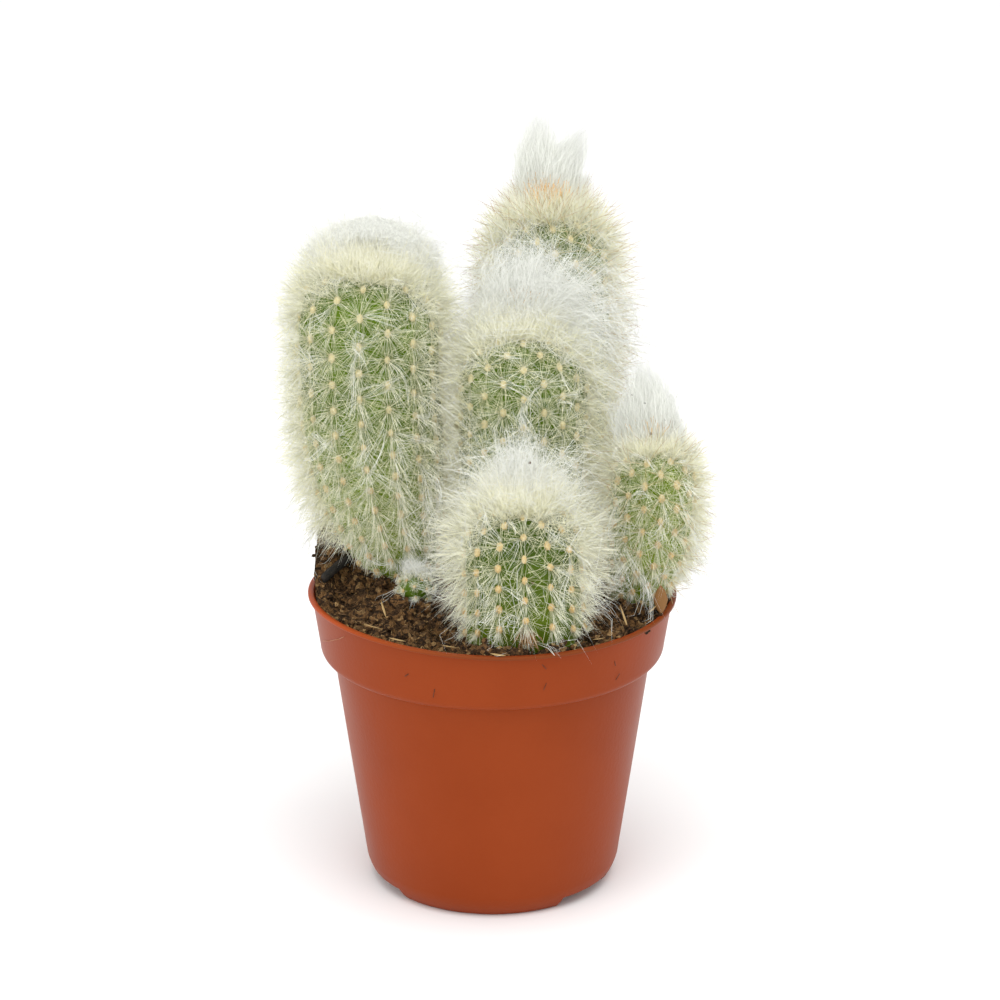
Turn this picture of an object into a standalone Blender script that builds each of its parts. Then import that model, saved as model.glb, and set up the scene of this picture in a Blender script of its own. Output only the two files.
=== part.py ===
"""A woolly column cactus of five stems and a small pup, planted in a thin nursery pot.

Lengths below are in millimetres and are turned into metres as each mesh is made. While the pieces are made,
x and y run from the pot's centre. +Z is up from the surface that the pot stands on, and -Y is the side that
faces the viewer. At the end everything moves sideways together, so that the origin lies under the middle of
the whole plant.
"""

import math
import random

import bmesh
import bpy
import numpy as np
from mathutils import Matrix, Vector, noise

MM = 0.001
GAP = 0.35
SHARP_ANGLE = math.radians(35)

# The pot: an injection-moulded nursery pot with a rim band, standing on three arcs of its foot.
POT_HEIGHT = 86.2
RIM_RADIUS = 52.5
LIP_WIDTH = 1.6
LIP_DEPTH = 0.9
RIM_WARP = 1.4
RIM_WARP_AT = math.radians(-52)
BAND_HEIGHT = 17.2
BAND_TOP_RADIUS = 51.3
BAND_BOTTOM_RADIUS = 49.2
BAND_ROUNDING = 2.6
WALL_TOP_RADIUS = 45.5
WALL_BOTTOM_RADIUS = 36.6
WALL_THICKNESS = 1.0
FOOT_RADIUS = 33.0
FOOT_WIDTH = 2.2
FOOT_ROUNDING = 6.6
FLOOR_UNDERSIDE = 3.6
FLOOR_THICKNESS = 1.2
POT_SEGMENTS = 48
FOOT_COUNT = 3
FOOT_NOTCH_WIDTH = 22.0
FOOT_NOTCH_HEIGHT = 3.4
FOOT_TURN = math.radians(-7)
DRAIN_RADIUS = 3.2
DRAIN_RING_RADIUS = 23.0
DRAIN_COUNT = 6

# The soil: peat, a little below the rim in front and banked up round the left stem.
SOIL_LEVEL = 83.6
SOIL_RINGS = 9
SOIL_SEGMENTS = 48
SOIL_EDGE_DROP = 0.6
SOIL_LUMP_HEIGHT = 3.4
SOIL_LUMP_SIZE = 9.0
BANKS = (
    # centre x, centre y, spread x, spread y, height
    (-48.0, 14.0, 13.0, 17.0, 16.0),
    (-26.0, 6.0, 20.0, 20.0, 6.5),
    (36.0, 6.0, 18.0, 20.0, 4.0),
)
HOLE_SIDES = 20
HOLE_REACH = 20.0

# The stems. "soil" is where a stem's middle line meets the soil, "bow" is the point that bends the line on
# its way up, and "tip" is the top of the flesh. Radii are taken over the ribs. "pitch" is the step from one
# areole to the next near the top, which "crowding" makes shorter towards the soil.
STEMS = {
    "left": dict(
        soil=(-26.0, 11.0, 91.0), bow=(-38.5, 9.5, 135.0), tip=(-33.3, 11.0, 183.4), neck=12.5, belly=20.3,
        ribs=16, rib_depth=1.6, pitch=9.3, crowding=0.33, first=0.55, turn=17, spine=5.6,
        crown=17.0, wool=6.0, rise=-0.1, fan=0.0, cap="wide",
    ),
    "tall": dict(
        soil=(13.5, 33.0, 85.5), bow=(19.5, 49.0, 135.0), tip=(16.0, 47.0, 187.0), neck=12.5, belly=17.0,
        ribs=18, rib_depth=1.2, pitch=7.6, crowding=0.0, first=0.63, turn=5, spine=8.0,
        crown=10.5, wool=11.0, rise=0.25, fan=0.0, cap="narrow",
    ),
    "middle": dict(
        soil=(6.5, 3.0, 84.8), bow=(9.5, 6.0, 126.0), tip=(8.6, 8.0, 164.0), neck=13.0, belly=18.4,
        ribs=20, rib_depth=1.3, pitch=8.2, crowding=0.0, first=0.55, turn=0, spine=6.5,
        crown=12.5, wool=15.0, rise=0.15, fan=0.6, cap="wide",
    ),
    "front": dict(
        soil=(9.0, -28.2, 84.0), bow=(8.2, -30.2, 104.0), tip=(8.0, -31.0, 125.5), neck=17.0, belly=16.4,
        ribs=14, rib_depth=1.3, pitch=5.9, crowding=0.0, first=0.64, turn=2, spine=7.0,
        crown=11.0, wool=12.5, rise=0.1, fan=0.8, cap="narrow",
    ),
    "right": dict(
        soil=(40.6, -3.0, 86.8), bow=(45.8, -4.0, 106.0), tip=(44.8, -3.0, 132.0), neck=7.6, belly=12.2,
        ribs=16, rib_depth=0.9, pitch=6.6, crowding=0.0, first=0.5, turn=-12, spine=5.6,
        crown=8.5, wool=15.0, rise=0.45, fan=0.2, cap="narrow",
    ),
    "pup": dict(
        soil=(-21.5, -8.5, 87.5), bow=(-21.7, -8.9, 90.0), tip=(-22.0, -9.3, 95.0), neck=3.8, belly=5.0,
        ribs=8, rib_depth=0.5, pitch=3.2, crowding=0.0, first=0.55, turn=0, spine=2.6,
        crown=3.6, wool=3.2, rise=0.0, fan=0.0, cap="tiny",
    ),
}
ROOT_DEPTH = 12.0
ROOT_SHARE = 0.5
BELLY_AT = 0.5
DOME_SHARE = 0.95
AREOLE_RADIUS = 0.8
AREOLE_STAGGER = (0.0, 0.25, 0.5, 0.25)
LOWEST_AREOLE = 0.5
LOWEST_RING = 1.15
CROWN_THICKNESS = 1.9
CAP_GRIDS = {"wide": (23, 5), "narrow": (16, 4), "tiny": (10, 3)}

# How far a spine or a lock of wool stays from what it doesn't grow on.
SPINE_TO_STEM = 0.8
SPINE_TO_RIM = 1.5
SPINE_TO_SOIL = 2.6
SPINE_TO_TWIG = 1.2
LOCK_TO_SPINES = 1.0

# The wool on the tall stem stands up in bundles, the highest at its left and the next at its right.
BUNDLES = (
    (11.5, 46.5, 206.0),
    (14.8, 46.0, 217.0),
    (18.5, 48.0, 211.0),
    (23.0, 46.0, 209.5),
    (27.5, 47.0, 212.5),
)
BUNDLE_PULL = 0.72

# The charred twig that lies on the bank of soil at the left.
TWIG_START = (-48.0, -4.4, 91.0)
TWIG_END = (-40.6, 2.2, 95.3)
TWIG_RADIUS = 1.3
TWIG_SIDES = 7
TWIG_RINGS = (
    # share of the length, share of the radius, crook sideways
    (0.0, 0.7, 0.0),
    (0.1, 1.0, 0.1),
    (0.5, 0.9, 0.5),
    (0.92, 1.0, 0.0),
    (1.0, 0.65, 0.0),
)


def clear_scene():
    for obj in list(bpy.data.objects):
        bpy.data.objects.remove(obj)


def material(name, colour, roughness):
    """A plain material with a name for its slot."""
    made = bpy.data.materials.new(name)
    made.use_nodes = True
    shader = made.node_tree.nodes["Principled BSDF"]
    shader.inputs["Base Color"].default_value = (*colour, 1.0)
    shader.inputs["Roughness"].default_value = roughness
    shader.inputs["Metallic"].default_value = 0.0
    return made


def object_from(bm, name, finish):
    """Makes an object in metres out of a mesh built in millimetres."""
    bmesh.ops.recalc_face_normals(bm, faces=bm.faces)
    bmesh.ops.scale(bm, vec=(MM, MM, MM), verts=bm.verts)
    mesh = bpy.data.meshes.new(name)
    bm.to_mesh(mesh)
    bm.free()
    mesh.shade_smooth()
    mesh.set_sharp_from_angle(angle=SHARP_ANGLE)
    mesh.materials.append(finish)
    made = bpy.data.objects.new(name, mesh)
    bpy.context.scene.collection.objects.link(made)
    return made


def cut(target, cutters):
    """Takes each cutter's shape out of the target and removes the cutters."""
    for cutter in cutters:
        cutter.hide_render = True
        cutter.display_type = "WIRE"
        boolean = target.modifiers.new("cut", "BOOLEAN")
        boolean.operation = "DIFFERENCE"
        boolean.object = cutter
    bpy.context.view_layer.update()
    graph = bpy.context.evaluated_depsgraph_get()
    carved = bpy.data.meshes.new_from_object(target.evaluated_get(graph))
    target.modifiers.clear()
    target.data = carved
    for cutter in cutters:
        bpy.data.objects.remove(cutter)


def turned(outline, segments):
    """Spins a chain of (radius, height) points, open where it ends on the axis, about Z."""
    bm = bmesh.new()
    chain = [bm.verts.new((radius, 0.0, height)) for radius, height in outline]
    edges = [bm.edges.new(pair) for pair in zip(chain, chain[1:])]
    bmesh.ops.spin(
        bm, geom=chain + edges, axis=(0, 0, 1), cent=(0, 0, 0),
        angle=math.tau, steps=segments, use_merge=True,
    )
    bmesh.ops.remove_doubles(bm, verts=bm.verts, dist=1e-3)
    return bm


def lift_rim(bm):
    """Raises the rim a little at its front left, because so thin a rim never lies quite flat."""
    step = POT_HEIGHT - BAND_HEIGHT
    for vert in bm.verts:
        angle = math.atan2(vert.co.x, -vert.co.y)
        share = min(1.0, max(0.0, (vert.co.z - step) / (BAND_HEIGHT - 2.0)))
        vert.co.z += RIM_WARP * share * max(0.0, math.cos(angle - RIM_WARP_AT)) ** 3


def wall_radius(height):
    """The pot's outer radius on the tapering wall below its band."""
    share = (height - FOOT_ROUNDING) / (POT_HEIGHT - BAND_HEIGHT - FOOT_ROUNDING)
    return WALL_BOTTOM_RADIUS + (WALL_TOP_RADIUS - WALL_BOTTOM_RADIUS) * share


def pot_inside():
    """The inner face of the pot as (radius, height) points, from the lip down to the floor."""
    step = POT_HEIGHT - BAND_HEIGHT
    floor = FLOOR_UNDERSIDE + FLOOR_THICKNESS
    return [
        (RIM_RADIUS - LIP_WIDTH, POT_HEIGHT),
        (BAND_TOP_RADIUS - WALL_THICKNESS, POT_HEIGHT - LIP_DEPTH - 0.5),
        (BAND_BOTTOM_RADIUS - WALL_THICKNESS, step + BAND_ROUNDING),
        (WALL_TOP_RADIUS - WALL_THICKNESS, step + 1.0),
        (wall_radius(floor) - WALL_THICKNESS, floor),
    ]


def make_pot(finish):
    """Turns the pot's thin wall, then cuts the gaps between its feet and the holes in its floor."""
    step = POT_HEIGHT - BAND_HEIGHT
    under_lip = POT_HEIGHT - LIP_DEPTH
    outside = [
        (0.0, FLOOR_UNDERSIDE),
        (FOOT_RADIUS - FOOT_WIDTH, FLOOR_UNDERSIDE),
        (FOOT_RADIUS - FOOT_WIDTH, 0.0),
        (FOOT_RADIUS, 0.0),
        (FOOT_RADIUS + 0.8, 0.9),
        (FOOT_RADIUS + 2.4, 3.3),
        (WALL_BOTTOM_RADIUS, FOOT_ROUNDING),
        (WALL_TOP_RADIUS, step),
        (BAND_BOTTOM_RADIUS - 1.1, step + 0.5),
        (BAND_BOTTOM_RADIUS, step + BAND_ROUNDING),
        (BAND_TOP_RADIUS, under_lip),
        (RIM_RADIUS, under_lip + 0.2),
        (RIM_RADIUS, POT_HEIGHT - 0.3),
        (RIM_RADIUS - 0.6, POT_HEIGHT),
    ]
    centre = [(0.0, FLOOR_UNDERSIDE + FLOOR_THICKNESS)]
    shell = turned(outside + pot_inside() + centre, POT_SEGMENTS)
    lift_rim(shell)
    pot = object_from(shell, "pot", finish)

    cutters = []
    for index in range(FOOT_COUNT):
        notch = bmesh.new()
        bmesh.ops.create_cube(notch, size=1.0)
        bmesh.ops.scale(notch, vec=(FOOT_NOTCH_WIDTH, 14.0, FOOT_NOTCH_HEIGHT + 2.0), verts=notch.verts)
        place = (0.0, -FOOT_RADIUS - 4.0, FOOT_NOTCH_HEIGHT / 2 - 1.0)
        bmesh.ops.translate(notch, vec=place, verts=notch.verts)
        angle = FOOT_TURN + math.tau * (index + 0.5) / FOOT_COUNT
        bmesh.ops.rotate(notch, matrix=Matrix.Rotation(angle, 3, "Z"), verts=notch.verts)
        cutters.append(object_from(notch, "foot_notch", finish))
    for index in range(DRAIN_COUNT):
        drain = bmesh.new()
        bmesh.ops.create_cone(
            drain, cap_ends=True, segments=10, radius1=DRAIN_RADIUS, radius2=DRAIN_RADIUS, depth=12.0,
        )
        angle = math.tau * index / DRAIN_COUNT
        place = (DRAIN_RING_RADIUS * math.cos(angle), DRAIN_RING_RADIUS * math.sin(angle), FLOOR_UNDERSIDE)
        bmesh.ops.translate(drain, vec=place, verts=drain.verts)
        cutters.append(object_from(drain, "drain_hole", finish))
    cut(pot, cutters)
    return pot


class Stem:
    """One stem: a bent middle line, a radius along it, and rows of areoles measured from its top."""

    def __init__(self, name, spec):
        self.name = name
        for key, value in spec.items():
            setattr(self, key, Vector(value) if isinstance(value, tuple) else value)
        fractions = np.linspace(0.0, 1.0, 301)
        points = [self.middle(f) for f in fractions]
        self.length = sum((b - a).length for a, b in zip(points, points[1:]))
        radii = [self.radius(f) for f in fractions]
        arcs = [0.0]
        for step in range(300, 0, -1):
            rise = self.length / 300
            arcs.append(arcs[-1] + math.hypot(rise, radii[step] - radii[step - 1]))
        self.arcs = np.array(arcs)
        self.reach = arcs[-1]
        self.fractions = fractions[::-1]
        self.line = np.array([points[i] for i in range(0, 301, 6)])
        self.line_radii = np.array([radii[i] for i in range(0, 301, 6)])

    def middle(self, f):
        """A point of the middle line: 0 at the soil, 1 at the top, and straight on below the soil."""
        if f < 0:
            down = (self.soil - self.bow).normalized()
            return self.soil + down * (-f * self.length)
        return self.soil * (1 - f) ** 2 + self.bow * (2 * f * (1 - f)) + self.tip * f ** 2

    def radius(self, f):
        """The radius over the ribs: it swells up to the belly, then closes in a dome at the top."""
        swell = math.sin(min(max(f, 0.0) / BELLY_AT, 1.0) * math.pi / 2)
        radius = self.neck + (self.belly - self.neck) * swell
        dome = DOME_SHARE * self.belly / self.length
        if f > 1 - dome:
            radius *= math.sqrt(max(0.0, 1 - ((f - 1 + dome) / dome) ** 2))
        if f < 0:
            radius *= 1 - (1 - ROOT_SHARE) * min(1.0, -f * self.length / ROOT_DEPTH)
        return radius

    def row_arc(self, row):
        """How far from the top, over the skin, a row of areoles lies."""
        arc = row * self.pitch
        if self.crowding:
            growth = 4 * self.crowding / self.reach
            arc = (math.sqrt(1 + growth * arc) - 1) * 2 / growth
        return arc

    def at_arc(self, arc):
        """The fraction along the line at a distance measured over the skin from the top."""
        return float(np.interp(arc, self.arcs, self.fractions))

    def frame(self, f):
        """Two directions square to the middle line, and the line's own direction."""
        along = (self.middle(f + 0.004) - self.middle(f - 0.004)).normalized()
        side = Vector((0, 1, 0)).cross(along).normalized()
        return side, along.cross(side), along

    def skin(self, f, angle, sink=0.0):
        """A point on the skin; angle 0 looks along -Y, and sink goes inwards."""
        side, back, _ = self.frame(min(f, 0.995))
        radius = max(self.radius(f) - sink, 0.0)
        return self.middle(f) + side * (radius * math.sin(angle)) - back * (radius * math.cos(angle))

    def outward(self, f, angle):
        """The direction square to the skin, leaving the ribs out of account."""
        side, back, along = self.frame(min(f, 0.995))
        flat = side * math.sin(angle) - back * math.cos(angle)
        step = 0.004
        slope = (self.radius(f + step) - self.radius(f - step)) / (2 * step * self.length)
        return (flat - along * slope).normalized()

    def distance(self, points):
        """How far points lie from this stem's skin."""
        offsets = points[:, None, :] - self.line[None, :, :]
        return (np.linalg.norm(offsets, axis=2) - self.line_radii[None, :]).min(axis=1)


def soil_height(x, y):
    """The soil's surface without its crumbs."""
    height = SOIL_LEVEL
    for centre_x, centre_y, spread_x, spread_y, rise in BANKS:
        height += rise * math.exp(-((x - centre_x) / spread_x) ** 2 - ((y - centre_y) / spread_y) ** 2)
    return height


def soil_crumbs(x, y):
    """The soil's lumps, up and down from its plain surface."""
    lump = noise.noise(Vector((x / SOIL_LUMP_SIZE, y / SOIL_LUMP_SIZE, 3.7)))
    grain = noise.noise(Vector((x / SOIL_LUMP_SIZE * 2.3, y / SOIL_LUMP_SIZE * 2.3, 8.1)))
    return SOIL_LUMP_HEIGHT * (lump + 0.5 * grain)


def make_soil(stems, finish):
    """Fills the pot, with a plain hole for each stem and a groove under the twig."""
    inner = pot_inside()
    top_radius = inner[0][0] - GAP
    section = [(0.0, inner[-1][1] + GAP)]
    section += [(radius - GAP, height + GAP) for radius, height in reversed(inner[1:])]
    section += [(top_radius * ring / SOIL_RINGS, POT_HEIGHT) for ring in range(SOIL_RINGS, -1, -1)]
    bm = turned(section, SOIL_SEGMENTS)
    surface = [vert for vert in bm.verts if vert.co.z > POT_HEIGHT - 0.01]
    lift_rim(bm)
    for vert in surface:
        height = soil_height(vert.co.x, vert.co.y) + soil_crumbs(vert.co.x, vert.co.y)
        edge = math.hypot(vert.co.x, vert.co.y) > top_radius - 0.5
        vert.co.z = max(height, vert.co.z - SOIL_EDGE_DROP) if edge else height
    soil = object_from(bm, "soil", finish)

    cutters = []
    for stem in stems:
        hole = bmesh.new()
        foot = -(ROOT_DEPTH + GAP) / stem.length
        head = HOLE_REACH / stem.length if stem.length > HOLE_REACH * 2 else 0.7
        rings = []
        for f in (foot, 0.0, head * 0.4, head):
            wide = (stem.radius(f) + GAP) / math.cos(math.pi / HOLE_SIDES)
            angles = [math.tau * k / HOLE_SIDES for k in range(HOLE_SIDES)]
            rings.append([hole.verts.new(stem.skin(f, a, stem.radius(f) - wide)) for a in angles])
        join_rings(hole, rings)
        hole.faces.new(rings[0])
        hole.faces.new(rings[-1])
        cutters.append(object_from(hole, "stem_hole", finish))
    cutters.append(object_from(twig_mesh(GAP), "twig_groove", finish))
    cut(soil, cutters)
    return soil


def join_rings(bm, rings):
    """Fills between rings of vertices that have the same count."""
    faces = []
    for low, high in zip(rings, rings[1:]):
        for k in range(len(low)):
            after = (k + 1) % len(low)
            faces.append(bm.faces.new((low[k], low[after], high[after], high[k])))
    return faces


def twig_mesh(spare):
    """A slightly crooked stick between the twig's two ends, thicker and longer by the spare all round."""
    start, end = Vector(TWIG_START), Vector(TWIG_END)
    along = (end - start).normalized()
    side = along.cross(Vector((0, 0, 1))).normalized()
    lift = side.cross(along)
    bm = bmesh.new()
    rings = []
    for share, size, crook in TWIG_RINGS:
        middle = start.lerp(end, share) + side * crook + along * (spare * (share * 2 - 1))
        rim = TWIG_RADIUS * size + spare
        angles = [math.tau * k / TWIG_SIDES for k in range(TWIG_SIDES)]
        rings.append([bm.verts.new(middle + (side * math.cos(a) + lift * math.sin(a)) * rim) for a in angles])
    join_rings(bm, rings)
    bm.faces.new(rings[0])
    bm.faces.new(rings[-1])
    return bm


def clear_of_others(points, stem, stems):
    """Whether a spine stays nearer to its own stem than to any other, and above the soil and the rim."""
    points = np.array(points)
    own = stem.distance(points)
    start = Vector(TWIG_START)
    twig = Vector(TWIG_END) - start
    for other in stems:
        if other is not stem and (other.distance(points) < own + SPINE_TO_STEM).any():
            return False
    for x, y, z in points:
        reach = math.hypot(x, y)
        if reach < RIM_RADIUS + SPINE_TO_RIM and z < POT_HEIGHT + SPINE_TO_RIM:
            return False
        if reach < RIM_RADIUS and z < soil_height(x, y) + SPINE_TO_SOIL:
            return False
        offset = Vector((x, y, z)) - start
        share = min(1.0, max(0.0, offset.dot(twig) / twig.length_squared))
        if (offset - twig * share).length < TWIG_RADIUS + SPINE_TO_TWIG:
            return False
    return True


def make_stem(stem, stems, finish, draw):
    """Builds the ribbed flesh with a row of vertices on each rib, then draws spines out of its areoles."""
    bm = bmesh.new()
    columns = stem.ribs * 2
    rows = 0
    while stem.reach - stem.row_arc(rows + stem.first) > LOWEST_RING * stem.pitch:
        rows += 1
    turn = math.radians(stem.turn)
    angles = [turn + math.tau * column / columns for column in range(columns)]
    phases = [stem.first + AREOLE_STAGGER[column % 4] for column in range(columns)]
    rings = []
    areoles = {}
    for row in range(rows):
        ring = []
        for column in range(columns):
            arc = stem.row_arc(row + phases[column])
            f = stem.at_arc(arc)
            groove = column % 2
            depth = stem.rib_depth * groove * min(1.0, stem.radius(f) / stem.belly)
            vert = bm.verts.new(stem.skin(f, angles[column], depth))
            ring.append(vert)
            if not groove and arc > stem.crown + 1.8 and stem.reach - arc > LOWEST_AREOLE * stem.pitch:
                areoles[vert] = (f, angles[column], row, column)
        rings.append(ring)
    for f in (-0.6 / stem.length, -ROOT_DEPTH / stem.length):
        rings.append([bm.verts.new(stem.skin(f, angle)) for angle in angles])
    join_rings(bm, rings)
    bm.faces.new(rings[-1])
    top = bm.verts.new(stem.middle(1.0) - stem.frame(0.99)[2] * 0.3)
    for k in range(columns):
        bm.faces.new((rings[0][k], rings[0][(k + 1) % columns], top))

    places = [(Vector(vert.co), *facts) for vert, facts in areoles.items()]
    pads = bmesh.ops.bevel(
        bm, geom=list(areoles), offset=AREOLE_RADIUS * min(1.0, stem.pitch / 6), affect="VERTICES",
        segments=1, profile=0.5, material=-1,
    )["faces"]
    centres = [pad.calc_center_median() for pad in pads]
    for place, f, angle, row, column in places:
        nearest = min(range(len(pads)), key=lambda k: (centres[k] - place).length_squared)
        grow_spines(bm, pads[nearest], stem, stems, f, angle, row + column // 2, draw)
    return object_from(bm, "stem_" + stem.name, finish)


def grow_spines(bm, pad, stem, stems, f, angle, order, draw):
    """Splits an areole in two and draws each half out into a spine, to the sides or up and down in turn."""
    along = stem.frame(f)[2]
    out = stem.outward(f, angle)
    across = out.cross(along).normalized()
    climb = across.cross(out).normalized()
    spread = across if order % 2 else climb
    centre = pad.calc_center_median()
    corners = sorted(pad.verts, key=lambda vert: abs((vert.co - centre).dot(spread)))
    if len(corners) != 4:
        return
    halves = [pad, bmesh.utils.face_split(pad, corners[0], corners[1])[0]]
    for half in halves:
        base = half.calc_center_median()
        way = 1.0 if (base - centre).dot(spread) > 0 else -1.0
        lean = draw.uniform(0.35, 0.6)
        length = stem.spine * draw.uniform(0.85, 1.1)
        for extra in (0.0, 0.5, 1.2, 2.4, -0.8, -2.0):
            direction = (out + spread * (way * lean) + climb * extra + climb * draw.uniform(-0.08, 0.08))
            direction.normalize()
            steps = [base + direction * (length * share) for share in (0.35, 0.7, 1.0)]
            if direction.dot(out) > 0.3 and clear_of_others(steps, stem, stems):
                point = bmesh.ops.poke(bm, faces=[half])["verts"][0]
                point.co = steps[-1]
                break


def lock_is_clear(points, stem, stems):
    """Whether a lock of wool stays out of the spines of every other stem."""
    points = np.array(points)
    others = [other for other in stems if other is not stem]
    return all((other.distance(points) > other.spine + LOCK_TO_SPINES).all() for other in others)


def crown_ring(bm, stem, arc, lift, columns):
    """A ring of vertices round the top of a stem, at a height over its skin."""
    f = stem.at_arc(arc)
    angles = [math.tau * (k + 0.5) / columns for k in range(columns)]
    return [bm.verts.new(stem.skin(f, a) + stem.outward(f, a) * lift) for a in angles]


def close_over(bm, ring, point):
    """Fills from a ring of vertices to one vertex over its middle."""
    return [bm.faces.new((ring[k], ring[(k + 1) % len(ring)], point)) for k in range(len(ring))]


def make_wool(stem, stems, finish, draw):
    """A thin cap over the top of a stem, with every face of its outside drawn out into a lock of wool."""
    bm = bmesh.new()
    columns, rows = CAP_GRIDS[stem.cap]
    under = GAP + 0.2
    thick = CROWN_THICKNESS * min(1.0, stem.belly / 10)
    outer = []
    for row in range(1, rows + 1):
        lift = under + thick * (1.0 - 0.45 * row / rows)
        outer.append(crown_ring(bm, stem, stem.crown * row / rows, lift, columns))
    inner = [crown_ring(bm, stem, stem.crown * share, under, columns) for share in (0.35, 0.7, 1.0)]
    up = stem.frame(0.99)[2]
    top = stem.middle(1.0)
    locks = join_rings(bm, outer) + close_over(bm, outer[0], bm.verts.new(top + up * (under + thick)))
    join_rings(bm, inner)
    close_over(bm, inner[0], bm.verts.new(top + up * under))
    join_rings(bm, [outer[-1], inner[-1]])

    dome_middle = stem.middle(1.0 - 0.9 * DOME_SHARE * stem.belly / stem.length)
    for face in locks:
        base = face.calc_center_median()
        out = (base - dome_middle).normalized()
        out.x *= 1 + stem.fan
        length = stem.wool * draw.uniform(0.75, 1.1) * out.length
        stray = Vector((draw.uniform(-1, 1), draw.uniform(-1, 1), draw.uniform(-1, 1))) * 0.12
        for rise in (stem.rise, 0.8, 1.6, 3.0):
            aim = base + (out.normalized() + up * rise + stray).normalized() * length
            if stem.name == "tall":
                bundle = min(BUNDLES, key=lambda place: abs(place[0] - aim.x))
                aim = aim.lerp(Vector(bundle) - up * draw.uniform(0, 5), BUNDLE_PULL)
            if lock_is_clear([base.lerp(aim, 0.5), aim], stem, stems):
                break
            length *= 0.75
        point = bmesh.ops.poke(bm, faces=[face])["verts"][0]
        point.co = aim
    return object_from(bm, "wool_" + stem.name, finish)


def centre_on_origin(objects):
    """Moves all the meshes sideways, so that the origin lies under the middle of the whole plant."""
    corners = np.array([vert.co for obj in objects for vert in obj.data.vertices])
    middle = (corners.min(axis=0) + corners.max(axis=0)) / 2
    for obj in objects:
        obj.data.transform(Matrix.Translation((-middle[0], -middle[1], 0.0)))


def main():
    clear_scene()
    draw = random.Random(1849)
    plastic = material("pot_plastic", (0.36, 0.075, 0.026), 0.42)
    peat = material("peat_soil", (0.045, 0.024, 0.012), 0.95)
    bark = material("charred_bark", (0.012, 0.009, 0.008), 0.9)
    flesh = material("cactus_flesh", (0.09, 0.2, 0.035), 0.6)
    wool = material("white_wool", (0.82, 0.83, 0.76), 0.9)

    stems = [Stem(name, spec) for name, spec in STEMS.items()]
    made = [make_pot(plastic)]
    made.append(make_soil(stems, peat))
    made.append(object_from(twig_mesh(0.0), "twig", bark))
    for stem in stems:
        made.append(make_stem(stem, stems, flesh, draw))
        made.append(make_wool(stem, stems, wool, draw))
    centre_on_origin(made)


main()
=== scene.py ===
import math

import bmesh
import bpy
import numpy as np
from mathutils import Matrix, Vector, noise


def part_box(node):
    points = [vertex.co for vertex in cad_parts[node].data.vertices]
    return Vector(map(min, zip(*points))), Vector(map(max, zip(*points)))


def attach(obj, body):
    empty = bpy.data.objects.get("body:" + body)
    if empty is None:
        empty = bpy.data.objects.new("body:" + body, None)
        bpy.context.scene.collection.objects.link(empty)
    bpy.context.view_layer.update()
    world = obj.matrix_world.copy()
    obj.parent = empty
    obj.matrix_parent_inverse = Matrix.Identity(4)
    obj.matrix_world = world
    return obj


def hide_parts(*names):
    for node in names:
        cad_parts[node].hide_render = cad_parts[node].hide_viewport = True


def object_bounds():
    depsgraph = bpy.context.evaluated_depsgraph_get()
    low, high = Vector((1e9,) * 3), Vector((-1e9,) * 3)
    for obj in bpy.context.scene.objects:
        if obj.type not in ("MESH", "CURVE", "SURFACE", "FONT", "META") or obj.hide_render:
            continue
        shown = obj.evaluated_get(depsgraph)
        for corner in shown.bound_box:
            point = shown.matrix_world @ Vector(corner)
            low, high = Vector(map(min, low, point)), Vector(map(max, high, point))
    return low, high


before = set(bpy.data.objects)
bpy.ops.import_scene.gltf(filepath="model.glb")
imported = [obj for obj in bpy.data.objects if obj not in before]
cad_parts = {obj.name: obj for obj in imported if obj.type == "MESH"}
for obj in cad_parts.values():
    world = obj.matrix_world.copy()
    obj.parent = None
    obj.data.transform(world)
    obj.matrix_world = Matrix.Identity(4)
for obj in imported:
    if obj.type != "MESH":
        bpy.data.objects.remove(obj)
cad_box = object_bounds()


# The view
# The camera stands a metre off, a little above the plant and dead in front of it, with a long lens. The plant
# stands on a white floor in an even white studio, lit by one wide lamp above and one to the left.
MM = 0.001
pot_low, pot_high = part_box("pot")
POT_AXIS = Vector(((pot_low.x + pot_high.x) / 2, (pot_low.y + pot_high.y) / 2, 0.0))
AIM = POT_AXIS + Vector((2.2, 0.0, 113.4)) * MM
CAMERA_DISTANCE = 1.0
CAMERA_PITCH = math.radians(19.34)
CAMERA_LENS = 127.4
FLOOR_SIZE = 12.0
LAMPS = {
    # place, size, power
    "top_lamp": ((0.1, -0.5, 1.5), 1.0, 12.0),
    "left_lamp": ((-1.2, -1.0, 0.8), 0.8, 4.0),
}


def link(obj):
    bpy.context.scene.collection.objects.link(obj)
    return obj


def camera():
    made = link(bpy.data.objects.new("camera", bpy.data.cameras.new("camera")))
    made.data.lens = CAMERA_LENS
    made.data.sensor_width = 36.0
    made.data.clip_end = 50.0
    back = Vector((0.0, -math.cos(CAMERA_PITCH), math.sin(CAMERA_PITCH)))
    made.location = AIM + back * CAMERA_DISTANCE
    made.rotation_euler = (math.pi / 2 - CAMERA_PITCH, 0.0, 0.0)
    return made


def lamp(name, place, size, power):
    """A square lamp that faces the plant."""
    light = bpy.data.lights.new(name, "AREA")
    light.size = size
    light.energy = power
    made = link(bpy.data.objects.new(name, light))
    made.location = place
    made.rotation_euler = (Vector(place) - AIM).to_track_quat("Z", "Y").to_euler()


def plain_material(name, colour, roughness):
    """A material of one Principled shader, ready for a pattern."""
    made = bpy.data.materials.new(name)
    made.use_nodes = True
    shader = made.node_tree.nodes["Principled BSDF"]
    shader.inputs["Base Color"].default_value = (*colour, 1.0)
    shader.inputs["Roughness"].default_value = roughness
    return made


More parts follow.
